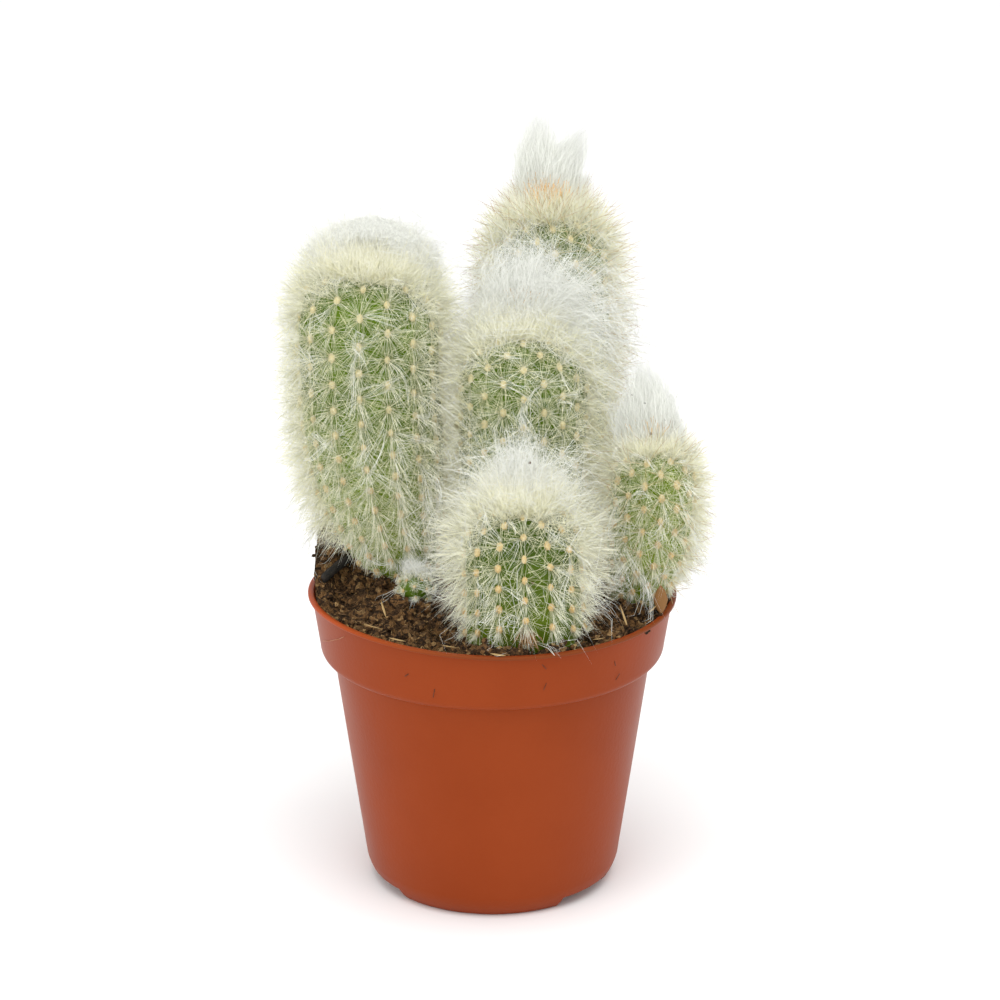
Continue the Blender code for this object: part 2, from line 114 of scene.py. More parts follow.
def floor():
    bm = bmesh.new()
    bmesh.ops.create_grid(bm, x_segments=1, y_segments=1, size=FLOOR_SIZE / 2)
    mesh = bpy.data.meshes.new("floor")
    bm.to_mesh(mesh)
    bm.free()
    mesh.materials.append(plain_material("white_floor", (0.92, 0.92, 0.92), 0.9))
    made = link(bpy.data.objects.new("floor", mesh))


def studio():
    world = bpy.data.worlds.new("studio")
    world.use_nodes = True
    sky = world.node_tree.nodes["Background"]
    sky.inputs["Color"].default_value = (1.0, 1.0, 1.0, 1.0)
    sky.inputs["Strength"].default_value = 1.0
    bpy.context.scene.world = world
    for name, (place, size, power) in LAMPS.items():
        lamp(name, place, size, power)
    bpy.context.scene.view_settings.view_transform = "Standard"


bpy.context.scene.camera = camera()
floor()
studio()


# The pot
# A thin nursery pot of terracotta-coloured polypropylene, moulded in one piece. It has a deep band under its
# lip, a wall that tapers to a rounded foot, three gaps in the foot and six drain holes in the floor. The band
# has a scratch at its left, and a few dark fibres of peat stick to it.
POT_HEIGHT = 86.2
RIM_RADIUS = 52.5
LIP_WIDTH = 1.6
LIP_DEPTH = 0.9
RIM_WARP = 1.4
RIM_WARP_AT = math.radians(-52)
BAND_HEIGHT = 17.2
BAND_TOP_RADIUS = 51.3
BAND_BOTTOM_RADIUS = 49.2
BAND_ROUNDING = 2.6
WALL_TOP_RADIUS = 45.5
WALL_BOTTOM_RADIUS = 36.6
WALL_THICKNESS = 1.0
FOOT_RADIUS = 33.0
FOOT_WIDTH = 2.2
FOOT_ROUNDING = 6.6
FLOOR_UNDERSIDE = 3.6
FLOOR_THICKNESS = 1.2
FOOT_COUNT = 3
FOOT_NOTCH_WIDTH = 22.0
FOOT_NOTCH_HEIGHT = 3.4
FOOT_NOTCH_DEPTH = 14.0
FOOT_TURN = math.radians(-7)
DRAIN_RADIUS = 3.2
DRILL_LENGTH = 12.0
DRAIN_RING_RADIUS = 23.0
DRAIN_COUNT = 6
POT_SEGMENTS = 144
BAND_STEP = POT_HEIGHT - BAND_HEIGHT
SCRATCH_WIDTH = 0.16
SCRATCH = ((-47.7, 76.8), (-45.4, 79.4), (-42.4, 82.4), (-41.0, 84.0))
FLECKS = (
    # across and up on the band, length, turn, thickness
    (-15.9, 73.9, 2.6, 80.0, 0.16), (-23.3, 78.3, 1.6, 35.0, 0.2), (14.5, 76.2, 2.2, 70.0, 0.14),
    (33.9, 78.9, 1.8, 100.0, 0.16), (34.8, 74.1, 2.2, 60.0, 0.14), (13.8, 83.0, 3.2, -50.0, 0.16),
)


def rounded(before, corner, after, count):
    """Points of a curve that leaves one point towards the corner and comes into the other."""
    points = []
    for k in range(count + 1):
        t = k / count
        points.append(tuple(
            b * (1 - t) ** 2 + c * 2 * t * (1 - t) + a * t * t for b, c, a in zip(before, corner, after)
        ))
    return points


def turned(outline, segments):
    """Spins a chain of (radius, height) points about the pot's axis."""
    bm = bmesh.new()
    chain = [bm.verts.new((radius, 0.0, height)) for radius, height in outline]
    edges = [bm.edges.new(pair) for pair in zip(chain, chain[1:])]
    bmesh.ops.spin(
        bm, geom=chain + edges, axis=(0, 0, 1), cent=(0, 0, 0),
        angle=math.tau, steps=segments, use_merge=True,
    )
    bmesh.ops.remove_doubles(bm, verts=bm.verts, dist=1e-3)
    bmesh.ops.recalc_face_normals(bm, faces=bm.faces)
    return bm


def lift_rim(bm):
    """Raises the rim a little at its front left, because so thin a rim never lies quite flat."""
    for vert in bm.verts:
        angle = math.atan2(vert.co.x, -vert.co.y)
        share = min(1.0, max(0.0, (vert.co.z - BAND_STEP) / (BAND_HEIGHT - 2.0)))
        vert.co.z += RIM_WARP * share * max(0.0, math.cos(angle - RIM_WARP_AT)) ** 3


def settle(mesh):
    """Takes a mesh made in millimetres about the pot's axis to metres, in its place."""
    mesh.transform(Matrix.Translation(POT_AXIS) @ Matrix.Scale(MM, 4))


def piece(name, bm, finish, sharp=None):
    """Makes a bmesh a piece of the plant, shaded smooth, or with edges sharper than an angle kept."""
    mesh = bpy.data.meshes.new(name)
    bm.to_mesh(mesh)
    bm.free()
    settle(mesh)
    mesh.shade_smooth()
    if sharp is not None:
        mesh.set_sharp_from_angle(angle=math.radians(sharp))
    mesh.materials.append(finish)
    made = link(bpy.data.objects.new(name, mesh))
    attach(made, "root")
    return made


def wall_radius(height):
    share = (height - FOOT_ROUNDING) / (BAND_STEP - FOOT_ROUNDING)
    return WALL_BOTTOM_RADIUS + (WALL_TOP_RADIUS - WALL_BOTTOM_RADIUS) * share


def pot_outline():
    """The wall's section, from the middle of the floor's underside round the lip to the floor's top."""
    under_lip = POT_HEIGHT - LIP_DEPTH
    floor_top = FLOOR_UNDERSIDE + FLOOR_THICKNESS
    inner_foot = FOOT_RADIUS - FOOT_WIDTH
    outline = [(0.0, FLOOR_UNDERSIDE), (inner_foot - 1.0, FLOOR_UNDERSIDE)]
    outline += rounded((inner_foot, FLOOR_UNDERSIDE - 1.0), (inner_foot, 0.0), (inner_foot + 0.4, 0.0), 3)
    outline += rounded((FOOT_RADIUS - 0.4, 0.0), (FOOT_RADIUS, 0.0), (FOOT_RADIUS + 0.4, 0.5), 3)
    foot_top = (WALL_BOTTOM_RADIUS, FOOT_ROUNDING)
    outline += rounded((FOOT_RADIUS + 1.0, 1.2), (FOOT_RADIUS + 2.9, 3.6), foot_top, 7)
    outline += [(wall_radius(height), height) for height in (22.0, 38.0, 54.0, BAND_STEP - 1.2)]
    outline += rounded(
        (wall_radius(BAND_STEP - 0.8), BAND_STEP - 0.8), (WALL_TOP_RADIUS, BAND_STEP),
        (WALL_TOP_RADIUS + 0.9, BAND_STEP), 4,
    )
    outline += rounded(
        (BAND_BOTTOM_RADIUS - 1.7, BAND_STEP + 0.1), (BAND_BOTTOM_RADIUS - 0.1, BAND_STEP + 0.3),
        (BAND_BOTTOM_RADIUS, BAND_STEP + BAND_ROUNDING), 6,
    )
    outline += rounded(
        (BAND_TOP_RADIUS - 0.05, under_lip - 0.7), (BAND_TOP_RADIUS, under_lip),
        (BAND_TOP_RADIUS + 0.5, under_lip), 3,
    )
    rim, lip = RIM_RADIUS, RIM_RADIUS - LIP_WIDTH
    outline += rounded((rim - 0.3, under_lip), (rim, under_lip), (rim, under_lip + 0.3), 3)
    outline += rounded((rim, POT_HEIGHT - 0.35), (rim, POT_HEIGHT), (rim - 0.4, POT_HEIGHT), 3)
    outline += rounded((lip + 0.3, POT_HEIGHT), (lip, POT_HEIGHT), (lip - 0.2, POT_HEIGHT - 0.4), 3)
    outline += [
        (BAND_TOP_RADIUS - WALL_THICKNESS, under_lip - 0.5),
        (BAND_BOTTOM_RADIUS - WALL_THICKNESS, BAND_STEP + BAND_ROUNDING),
        (WALL_TOP_RADIUS - WALL_THICKNESS, BAND_STEP + 1.0),
        (wall_radius(floor_top) - WALL_THICKNESS, floor_top),
        (0.0, floor_top),
    ]
    return outline


def pot_cutters():
    """The blocks and rods that the gaps in the foot and the drain holes are cut with."""
    bm = bmesh.new()
    for index in range(FOOT_COUNT):
        made = bmesh.ops.create_cube(bm, size=1.0)["verts"]
        bmesh.ops.scale(bm, vec=(FOOT_NOTCH_WIDTH, FOOT_NOTCH_DEPTH, FOOT_NOTCH_HEIGHT + 2.0), verts=made)
        bmesh.ops.translate(bm, vec=(0.0, -FOOT_RADIUS - 4.0, FOOT_NOTCH_HEIGHT / 2 - 1.0), verts=made)
        turn = Matrix.Rotation(FOOT_TURN + math.tau * (index + 0.5) / FOOT_COUNT, 3, "Z")
        bmesh.ops.rotate(bm, matrix=turn, verts=made)
    for index in range(DRAIN_COUNT):
        angle = math.tau * index / DRAIN_COUNT
        place = (DRAIN_RING_RADIUS * math.cos(angle), DRAIN_RING_RADIUS * math.sin(angle), FLOOR_UNDERSIDE)
        made = bmesh.ops.create_cone(
            bm, cap_ends=True, segments=24, radius1=DRAIN_RADIUS, radius2=DRAIN_RADIUS, depth=DRILL_LENGTH,
        )["verts"]
        bmesh.ops.translate(bm, vec=place, verts=made)
    return bm


def cut(target, cutter_bm):
    """Takes the cutters out of a piece for good."""
    mesh = bpy.data.meshes.new("cutter")
    cutter_bm.to_mesh(mesh)
    cutter_bm.free()
    settle(mesh)
    cutter = link(bpy.data.objects.new("cutter", mesh))
    boolean = target.modifiers.new("cut", "BOOLEAN")
    boolean.operation = "DIFFERENCE"
    boolean.object = cutter
    bpy.context.view_layer.update()
    graph = bpy.context.evaluated_depsgraph_get()
    carved = bpy.data.meshes.new_from_object(target.evaluated_get(graph))
    target.modifiers.clear()
    target.data = carved
    bpy.data.objects.remove(cutter)


class Nodes:
    """A short way to place and join the nodes of one tree."""

    def __init__(self, tree):
        self.tree = tree

    def add(self, kind, **values):
        made = self.tree.nodes.new("ShaderNode" + kind)
        for name, value in values.items():
            setattr(made, name, value)
        return made

    def join(self, out, into):
        self.tree.links.new(out, into)

    def mix(self, fac, low, high):
        """A colour between two, which may be colours or sockets, by a mask."""
        made = self.add("Mix", data_type="RGBA")
        for value, socket in ((fac, made.inputs[0]), (low, made.inputs[6]), (high, made.inputs[7])):
            if isinstance(value, tuple):
                socket.default_value = (*value, 1.0)
            else:
                self.join(value, socket)
        return made.outputs[2]

    def sum(self, operation, first, second=0.0, third=0.0, clamp=False):
        made = self.add("Math", operation=operation, use_clamp=clamp)
        for value, socket in zip((first, second, third), made.inputs):
            if isinstance(value, (int, float)):
                socket.default_value = value
            else:
                self.join(value, socket)
        return made.outputs[0]

    def ramp(self, value, low, high):
        """Nought below one value, one above another, and smooth between."""
        made = self.add("MapRange", interpolation_type="SMOOTHSTEP")
        self.join(value, made.inputs["Value"])
        made.inputs["From Min"].default_value = low
        made.inputs["From Max"].default_value = high
        return made.outputs["Result"]


def mottle_group():
    """Soft patches at one size and grain at another, as a mask for colour and a height for bump."""
    group = bpy.data.node_groups.new("mottle", "ShaderNodeTree")
    for name, kind in (("Vector", "Vector"), ("Patch Scale", "Float"), ("Grain Scale", "Float")):
        group.interface.new_socket(name, in_out="INPUT", socket_type="NodeSocket" + kind)
    for name in ("Patches", "Grain"):
        group.interface.new_socket(name, in_out="OUTPUT", socket_type="NodeSocketFloat")
    made = Nodes(group)
    inside = group.nodes.new("NodeGroupInput")
    outside = group.nodes.new("NodeGroupOutput")
    for out, scale, detail in (("Patches", "Patch Scale", 3.0), ("Grain", "Grain Scale", 2.0)):
        pattern = made.add("TexNoise")
        pattern.inputs["Detail"].default_value = detail
        made.join(inside.outputs["Vector"], pattern.inputs["Vector"])
        made.join(inside.outputs[scale], pattern.inputs["Scale"])
        made.join(made.ramp(pattern.outputs["Fac"], 0.3, 0.7), outside.inputs[out])
    return group


MOTTLE = mottle_group()


def patterned(name, roughness, patches, grain):
    """A material with its shader, object coordinates and the mottle group in place."""
    made = plain_material(name, (0.5, 0.5, 0.5), roughness)
    nodes = Nodes(made.node_tree)
    place = nodes.add("TexCoord").outputs["Object"]
    mottle = nodes.add("Group", node_tree=MOTTLE)
    nodes.join(place, mottle.inputs["Vector"])
    mottle.inputs["Patch Scale"].default_value = patches
    mottle.inputs["Grain Scale"].default_value = grain
    shader = made.node_tree.nodes["Principled BSDF"]
    return made, nodes, shader, place, mottle


def bump(nodes, shader, height, distance, strength=1.0):
    made = nodes.add("Bump")
    made.inputs["Strength"].default_value = strength
    made.inputs["Distance"].default_value = distance
    nodes.join(height, made.inputs["Height"])
    nodes.join(made.outputs["Normal"], shader.inputs["Normal"])


def pot_plastic():
    """Satin terracotta plastic, brighter on the thin lip with painted light for the light it lets through,
    and darker on the lip in front with painted shade.
    """
    made, nodes, shader, place, mottle = patterned("pot_plastic", 0.42, patches=26.0, grain=900.0)
    shader.inputs["Specular IOR Level"].default_value = 0.12
    shader.inputs["Specular Tint"].default_value = (1.0, 0.88, 0.68, 1.0)
    body = nodes.mix(mottle.outputs["Patches"], (0.25, 0.038, 0.0065), (0.275, 0.044, 0.0085))
    lip = nodes.add("Attribute", attribute_name="lip").outputs["Fac"]
    lip_shade = nodes.add("Attribute", attribute_name="lip_shade").outputs["Fac"]
    # painted light: the thin lip is brighter, for the light that comes through it
    unshaded = nodes.mix(lip, body, (0.36, 0.056, 0.009))
    # painted shade: the lip turns darker towards the front
    nodes.join(nodes.mix(lip_shade, unshaded, (0.12, 0.035, 0.01)), shader.inputs["Base Color"])
    rough = nodes.sum("MULTIPLY_ADD", mottle.outputs["Patches"], 0.08, 0.36)
    nodes.join(rough, shader.inputs["Roughness"])
    bump(nodes, shader, mottle.outputs["Grain"], distance=0.00003, strength=0.5)
    return made


def mark_lip(obj):
    """Gives the thin lip its own mask, and another for the painted shade that dulls it in front."""
    marks = obj.data.attributes.new("lip", "FLOAT", "POINT")
    lip_shade = obj.data.attributes.new("lip_shade", "FLOAT", "POINT")
    for vert, mark, grey in zip(obj.data.vertices, marks.data, lip_shade.data):
        place = (vert.co - POT_AXIS) / MM
        reach = math.hypot(place.x, place.y)
        mark.value = 1.0 if reach > BAND_TOP_RADIUS + 0.3 and place.z > POT_HEIGHT - 2.0 else 0.0
        if mark.value:
            # painted shade on the lip, deepest towards the front right
            grey.value = min(0.7, max(0.0, 0.75 * (-place.y + 0.6 * place.x) / RIM_RADIUS))


shell = turned(pot_outline(), POT_SEGMENTS)
lift_rim(shell)
pot = piece("pot_shell", shell, pot_plastic())
cut(pot, pot_cutters())
pot.data.shade_smooth()
pot.data.set_sharp_from_angle(angle=math.radians(50))
mark_lip(pot)
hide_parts("pot")


def on_band(x, z):
    """A place on the outside of the band, in front."""
    share = (z - BAND_STEP) / (POT_HEIGHT - LIP_DEPTH - BAND_STEP)
    reach = BAND_BOTTOM_RADIUS + (BAND_TOP_RADIUS - BAND_BOTTOM_RADIUS) * share
    return Vector((x, -math.sqrt(reach ** 2 - x ** 2), z))


def add_rod(bm, start, end, thickness, sides=4):
    """A thin rod from one place to another."""
    turn = (end - start).to_track_quat("Z", "Y").to_matrix().to_4x4()
    bmesh.ops.create_cone(
        bm, cap_ends=True, segments=sides, radius1=thickness / 2, radius2=thickness / 2,
        depth=(end - start).length, matrix=Matrix.Translation((start + end) / 2) @ turn,
    )


scratch_bm = bmesh.new()
for first, second in zip(SCRATCH, SCRATCH[1:]):
    add_rod(scratch_bm, on_band(*first), on_band(*second), SCRATCH_WIDTH)
scratch = piece("pot_scratch", scratch_bm, plain_material("scratched_plastic", (0.5, 0.2, 0.09), 0.6))
flecks_bm = bmesh.new()
for x, z, length, lean, thickness in FLECKS:
    reach = Vector((math.cos(math.radians(lean)), 0.0, math.sin(math.radians(lean)))) * length / 2
    middle = on_band(x, z)
    add_rod(flecks_bm, middle - reach, middle + reach, thickness)
flecks = piece("pot_flecks", flecks_bm, plain_material("dark_fibre", (0.05, 0.025, 0.012), 0.8))


# The stems' shape
# Five stems and a small pup grow out of one root. Each is a bent column that swells to its belly, with low
# ribs that carry rows of areoles, set half a step apart on neighbouring ribs.
STEMS = {
    "left": dict(
        soil=(-26.0, 11.0, 91.0), bow=(-38.5, 9.5, 135.0), tip=(-33.3, 11.0, 183.4), neck=12.5, belly=20.3,
        ribs=16, rib_depth=1.6, pitch=9.3, crowding=0.33, first=0.55, turn=17, crown=17.0,
    ),
    "tall": dict(
        soil=(13.5, 33.0, 85.5), bow=(19.5, 49.0, 135.0), tip=(16.0, 47.0, 187.0), neck=12.5, belly=17.0,
        ribs=18, rib_depth=1.2, pitch=7.6, crowding=0.0, first=0.63, turn=5, crown=10.5,
    ),
    "middle": dict(
        soil=(6.5, 3.0, 84.8), bow=(9.5, 6.0, 126.0), tip=(8.6, 8.0, 164.0), neck=13.0, belly=18.4,
        ribs=20, rib_depth=1.3, pitch=8.2, crowding=0.0, first=0.55, turn=0, crown=12.5,
    ),
    "front": dict(
        soil=(9.0, -28.2, 84.0), bow=(8.2, -30.2, 104.0), tip=(8.0, -31.0, 125.5), neck=17.0, belly=16.4,
        ribs=14, rib_depth=1.3, pitch=5.9, crowding=0.0, first=0.64, turn=2, crown=11.0,
    ),
    "right": dict(
        soil=(40.6, -3.0, 86.8), bow=(45.8, -4.0, 106.0), tip=(44.8, -3.0, 132.0), neck=7.6, belly=12.2,
        ribs=16, rib_depth=0.9, pitch=6.6, crowding=0.0, first=0.5, turn=-12, crown=8.5,
    ),
    "pup": dict(
        soil=(-21.5, -8.5, 87.5), bow=(-21.7, -8.9, 90.0), tip=(-22.0, -9.3, 95.0), neck=3.8, belly=5.0,
        ribs=8, rib_depth=0.5, pitch=3.2, crowding=0.0, first=0.55, turn=0, crown=3.6,
    ),
}
ROOT_DEPTH = 12.0
ROOT_SHARE = 0.5
BELLY_AT = 0.5
DOME_SHARE = 0.95
AREOLE_STAGGER = 0.5
HIGHEST_AREOLE = 0.8
LOWEST_AREOLE = -0.5


def unit(vectors):
    return vectors / np.linalg.norm(vectors, axis=-1, keepdims=True)


class Stem:
    """A bent middle line and a radius along it, with places on the skin given by arc, the distance over the
    skin from the top, and by angle, nought towards the viewer."""

    def __init__(self, name, spec):
        self.name = name
        for key, value in spec.items():
            setattr(self, key, np.array(value) if isinstance(value, tuple) else value)
        self.fractions = np.linspace(1.0, 0.0, 301)
        points = self.middle(self.fractions)
        steps = np.linalg.norm(np.diff(points, axis=0), axis=1)
        self.length = steps.sum()
        radii = self.radius(self.fractions)
        self.arcs = np.concatenate([[0.0], np.cumsum(np.hypot(steps, np.diff(radii)))])
        self.reach = self.arcs[-1]
        self.turn = math.radians(self.turn)

    def middle(self, f):
        f = np.asarray(f, float)[..., None]
        curve = self.soil * (1 - f) ** 2 + self.bow * (2 * f * (1 - f)) + self.tip * f ** 2
        down = unit(self.soil - self.bow)
        return np.where(f < 0, self.soil + down * (-f * getattr(self, "length", 1.0)), curve)

    def radius(self, f):
        f = np.asarray(f, float)
        swell = np.sin(np.clip(f / BELLY_AT, 0, 1) * math.pi / 2)
        radius = self.neck + (self.belly - self.neck) * swell
        dome = DOME_SHARE * self.belly / self.length
        cap = np.sqrt(np.clip(1 - ((f - 1 + dome) / dome) ** 2, 0, 1))
        root = 1 - (1 - ROOT_SHARE) * np.clip(-f * self.length / ROOT_DEPTH, 0, 1)
        return radius * np.where(f > 1 - dome, cap, 1.0) * root

    def at_arc(self, arc):
        arc = np.asarray(arc, float)
        below = -(arc - self.reach) / self.length
        return np.where(arc > self.reach, below, np.interp(arc, self.arcs, self.fractions))

    def row(self, arc):
        """Which row of areoles lies at a distance from the top; they stand closer towards the soil."""
        return arc / self.pitch * (1 + self.crowding * arc / self.reach)

    def furrow(self, arc, angle):
        """How deep the skin lies under the ribs' crests, with a low bump under each areole."""
        wave = (angle - self.turn) * self.ribs
        valley = (0.5 - 0.5 * np.cos(wave)) ** 0.8
        order = np.round(wave / math.tau).astype(int) % 2
        bumps = 0.5 - 0.5 * np.cos((self.row(arc) - self.first - AREOLE_STAGGER * order) * math.tau)
        depth = self.rib_depth * (valley + 0.3 * bumps * (1 - valley))
        return depth * np.clip(self.radius(self.at_arc(arc)) / self.belly, 0, 1)

    def skin(self, arc, angle, ribbed=True, lift=0.0):
        arc, angle = np.broadcast_arrays(np.asarray(arc, float), np.asarray(angle, float))
        f = self.at_arc(arc)
        held = np.minimum(f, 0.995)
        along = unit(self.middle(held + 0.004) - self.middle(held - 0.004))
        side = unit(np.cross((0.0, 1.0, 0.0), along))
        back = np.cross(along, side)
        sink = self.furrow(arc, angle) if ribbed else 0.0
        radius = np.maximum(self.radius(f) - sink, 0.0)[..., None] + lift
        flat = side * np.sin(angle)[..., None] - back * np.cos(angle)[..., None]
        return self.middle(f) + flat * radius

    def directions(self, arc, angle):
        """Out from the skin, up along it, and across it, ribs left out."""
        arc = np.maximum(np.asarray(arc, float), 0.6)
        climb = unit(self.skin(arc - 0.3, angle, False) - self.skin(arc + 0.3, angle, False))
        across = unit(self.skin(arc, angle + 0.02, False) - self.skin(arc, angle - 0.02, False))
        return unit(np.cross(across, climb)), climb, across

    def areoles(self):
        """Arc and angle of every areole below the crown."""
        arcs = np.linspace(0.0, self.reach - LOWEST_AREOLE * self.pitch, 400)
        rows = self.row(arcs)
        places = []
        for rib in range(self.ribs):
            first = self.first + AREOLE_STAGGER * (rib % 2)
            chosen = np.interp(np.arange(first, rows[-1]), rows, arcs)
            angle = self.turn + math.tau * rib / self.ribs
            places += [(arc, angle) for arc in chosen if arc > self.crown * HIGHEST_AREOLE]
        return np.array(places)

    def inside(self, points, spare):
        """Which points lie inside this stem, or less than the spare outside it."""
        f = np.linspace(-0.05, 1.0, 40)
        line = self.middle(f)
        gaps = np.linalg.norm(points[:, None, :] - line[None], axis=2) - self.radius(f)[None]
        return gaps.min(axis=1) < spare


stems = {name: Stem(name, spec) for name, spec in STEMS.items()}


# The soil
# Dry peat with coarse crumbs, a little under the rim in front and banked up round the left stem. It was
# pressed in round the roots, and some of it lies over the rim.
SOIL_LEVEL = 83.6
SOIL_RINGS = 64
SOIL_SEGMENTS = 160
SOIL_EDGE_DROP = 0.6
SOIL_EDGE_WIDTH = 3.0
SOIL_EDGE_RELIEF = 1.2
SOIL_JITTER = 0.35
SOIL_LUMP_HEIGHT = 3.4
SOIL_LUMP_SIZE = 9.0
CLOD_RELIEF = 3.0
CLOD_SIZE = 3.4
CRUMB_RELIEF = 0.7
CRUMB_SIZE = 1.1
RELIEF_LIFT = 1.2
SOIL_GAP = 0.35
BANKS = (
    # centre x, centre y, spread x, spread y, height
    (-48.0, 14.0, 13.0, 17.0, 16.0),
    (-26.0, 6.0, 20.0, 20.0, 6.5),
    (36.0, 6.0, 18.0, 20.0, 4.0),
    (9.0, -49.0, 24.0, 5.0, 3.2),
    (34.0, -32.0, 14.0, 9.0, 2.0),
    (-44.5, -2.5, 5.0, 6.0, -2.2),
    (-21.5, -13.0, 8.5, 4.0, 2.6),
)
CLODS = (
    # place and size of the biggest clods
    ((-26.5, -14.0), 3.2), ((-36.5, -26.0), 2.1), ((-31.0, -3.5), 2.3), ((-43.0, -14.0), 1.6),
    ((-20.0, -24.0), 2.0), ((28.0, -36.0), 1.7), ((42.0, -27.0), 1.8), ((-14.0, -38.0), 1.6),
    ((-40.5, -20.0), 1.3), ((-18.0, -14.5), 2.2), ((-23.0, -15.5), 1.9), ((-14.5, -15.0), 2.0),
    ((-33.0, -20.5), 1.5), ((-28.5, -30.0), 1.4), ((-46.0, -9.0), 1.5),
)
CRUMB_COUNT = 1100
CRUMB_SMALLEST = 0.3
CRUMB_LARGEST = 1.3
CRUMB_STRETCH = (0.6, 1.2)
CRUMB_KNOBS = (0.75, 1.15)
CRUMB_LIFT = 0.4
CLOD_KNOBS = 0.45
CLOD_FLATNESS = 0.7
CLOD_LIFT = 0.25


def ground(x, y):
    """The height of the soil, with its lumps and crumbs."""
    height = SOIL_LEVEL
    for centre_x, centre_y, spread_x, spread_y, rise in BANKS:
        height += rise * math.exp(-((x - centre_x) / spread_x) ** 2 - ((y - centre_y) / spread_y) ** 2)
    lump = noise.noise(Vector((x / SOIL_LUMP_SIZE, y / SOIL_LUMP_SIZE, 3.7)))
    grain = noise.noise(Vector((x / SOIL_LUMP_SIZE * 2.3, y / SOIL_LUMP_SIZE * 2.3, 8.1)))
    clods = noise.voronoi(Vector((x / CLOD_SIZE, y / CLOD_SIZE, 1.3)))[0][0]
    crumbs = noise.noise(Vector((x / CRUMB_SIZE, y / CRUMB_SIZE, 5.0)))
    height += SOIL_LUMP_HEIGHT * (lump + 0.5 * grain)
    return height + RELIEF_LIFT - CLOD_RELIEF * clods + CRUMB_RELIEF * crumbs


def soil_body():
    """Fills the pot up to a crumbly surface."""
    top = RIM_RADIUS - LIP_WIDTH - SOIL_GAP
    floor_top = FLOOR_UNDERSIDE + FLOOR_THICKNESS
    wall = WALL_THICKNESS + SOIL_GAP
    outline = [(0.0, floor_top + SOIL_GAP), (wall_radius(floor_top) - wall, floor_top + SOIL_GAP)]
    outline += [(WALL_TOP_RADIUS - wall, BAND_STEP + 1.4), (BAND_BOTTOM_RADIUS - wall, BAND_STEP + 3.0)]
    outline += [(top * ring / SOIL_RINGS, POT_HEIGHT) for ring in range(SOIL_RINGS, -1, -1)]
    bm = turned(outline, SOIL_SEGMENTS)
    surface = [vert for vert in bm.verts if vert.co.z > POT_HEIGHT - 0.01]
    lift_rim(bm)
    for vert in surface:
        x, y = vert.co.x, vert.co.y
        height = ground(x, y)
        edge = max(0.0, (math.hypot(x, y) - top + SOIL_EDGE_WIDTH) / SOIL_EDGE_WIDTH)
        ragged = SOIL_EDGE_RELIEF * noise.noise(Vector((x / 2.0, y / 2.0, 2.0)))
        level = max(height, vert.co.z - SOIL_EDGE_DROP - ragged)
        vert.co.z = height + (level - height) * edge
        if edge < 1.0:
            vert.co.x += SOIL_JITTER * noise.noise(Vector((x, y, 11.0)))
            vert.co.y += SOIL_JITTER * noise.noise(Vector((x, y, 17.0)))
    return bm


def add_crumbs(bm, draw):
    """Scatters loose crumbs over the soil, each a small knobbly ball."""
    for _ in range(CRUMB_COUNT):
        reach = (RIM_RADIUS - 1.5) * math.sqrt(draw.random())
        angle = draw.uniform(0, math.tau)
        x, y = reach * math.cos(angle), reach * math.sin(angle)
        size = CRUMB_SMALLEST + (CRUMB_LARGEST - CRUMB_SMALLEST) * draw.random() ** 2.0
        made = bmesh.ops.create_icosphere(bm, subdivisions=1, radius=size)["verts"]
        stretch = [draw.uniform(*CRUMB_STRETCH) for _ in range(3)]
        for vert in made:
            vert.co = Vector([c * s for c, s in zip(vert.co, stretch)]) * draw.uniform(*CRUMB_KNOBS)
        near_rim = reach > RIM_RADIUS - 4.0
        height = max(ground(x, y), POT_HEIGHT - 0.2) if near_rim else ground(x, y)
        bmesh.ops.translate(bm, vec=(x, y, height + size * CRUMB_LIFT), verts=made)
    for (x, y), size in CLODS:
        made = bmesh.ops.create_icosphere(bm, subdivisions=3, radius=size)["verts"]
        for vert in made:
            vert.co *= 1.0 + CLOD_KNOBS * noise.noise(vert.co * 0.9 + Vector((x, y, 0.0)))
            vert.co.z *= CLOD_FLATNESS
        bmesh.ops.translate(bm, vec=(x, y, ground(x, y) + size * CLOD_LIFT), verts=made)


def peat():
    """Dark brown peat with paler and redder crumbs."""
    made, nodes, shader, place, mottle = patterned("peat_soil", 0.95, patches=240.0, grain=1500.0)
    shader.inputs["Specular IOR Level"].default_value = 0.2
    dark = nodes.mix(mottle.outputs["Grain"], (0.02, 0.012, 0.006), (0.09, 0.046, 0.02))
    clods = nodes.add("TexVoronoi")
    clods.inputs["Scale"].default_value = 900.0
    nodes.join(place, clods.inputs["Vector"])
    shade = nodes.add("SeparateColor")
    nodes.join(clods.outputs["Color"], shade.inputs[0])
    tan = nodes.mix(nodes.ramp(shade.outputs["Red"], 0.4, 0.95), dark, (0.23, 0.12, 0.045))
    pale = nodes.mix(nodes.ramp(shade.outputs["Green"], 0.86, 0.96), tan, (0.38, 0.23, 0.1))
    nodes.join(pale, shader.inputs["Base Color"])
    bump(nodes, shader, mottle.outputs["Grain"], distance=0.0008)
    return made


PEAT = peat()
crumb_draw = np.random.default_rng(5)
soil_bm = soil_body()
soil = piece("soil_body", soil_bm, PEAT)
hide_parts("soil")
crumbs_bm = bmesh.new()
add_crumbs(crumbs_bm, crumb_draw)
crumbs = piece("soil_crumbs", crumbs_bm, PEAT)


# The twig
# A short stick of charred bark that came with the peat and lies on the bank at the left.
TWIG_START = Vector((-48.0, -4.4, 91.0))
TWIG_END = Vector((-40.6, 2.2, 95.3))
TWIG_RADIUS = 1.3
TWIG_CROOK = 0.5
BARK_RELIEF = 0.35


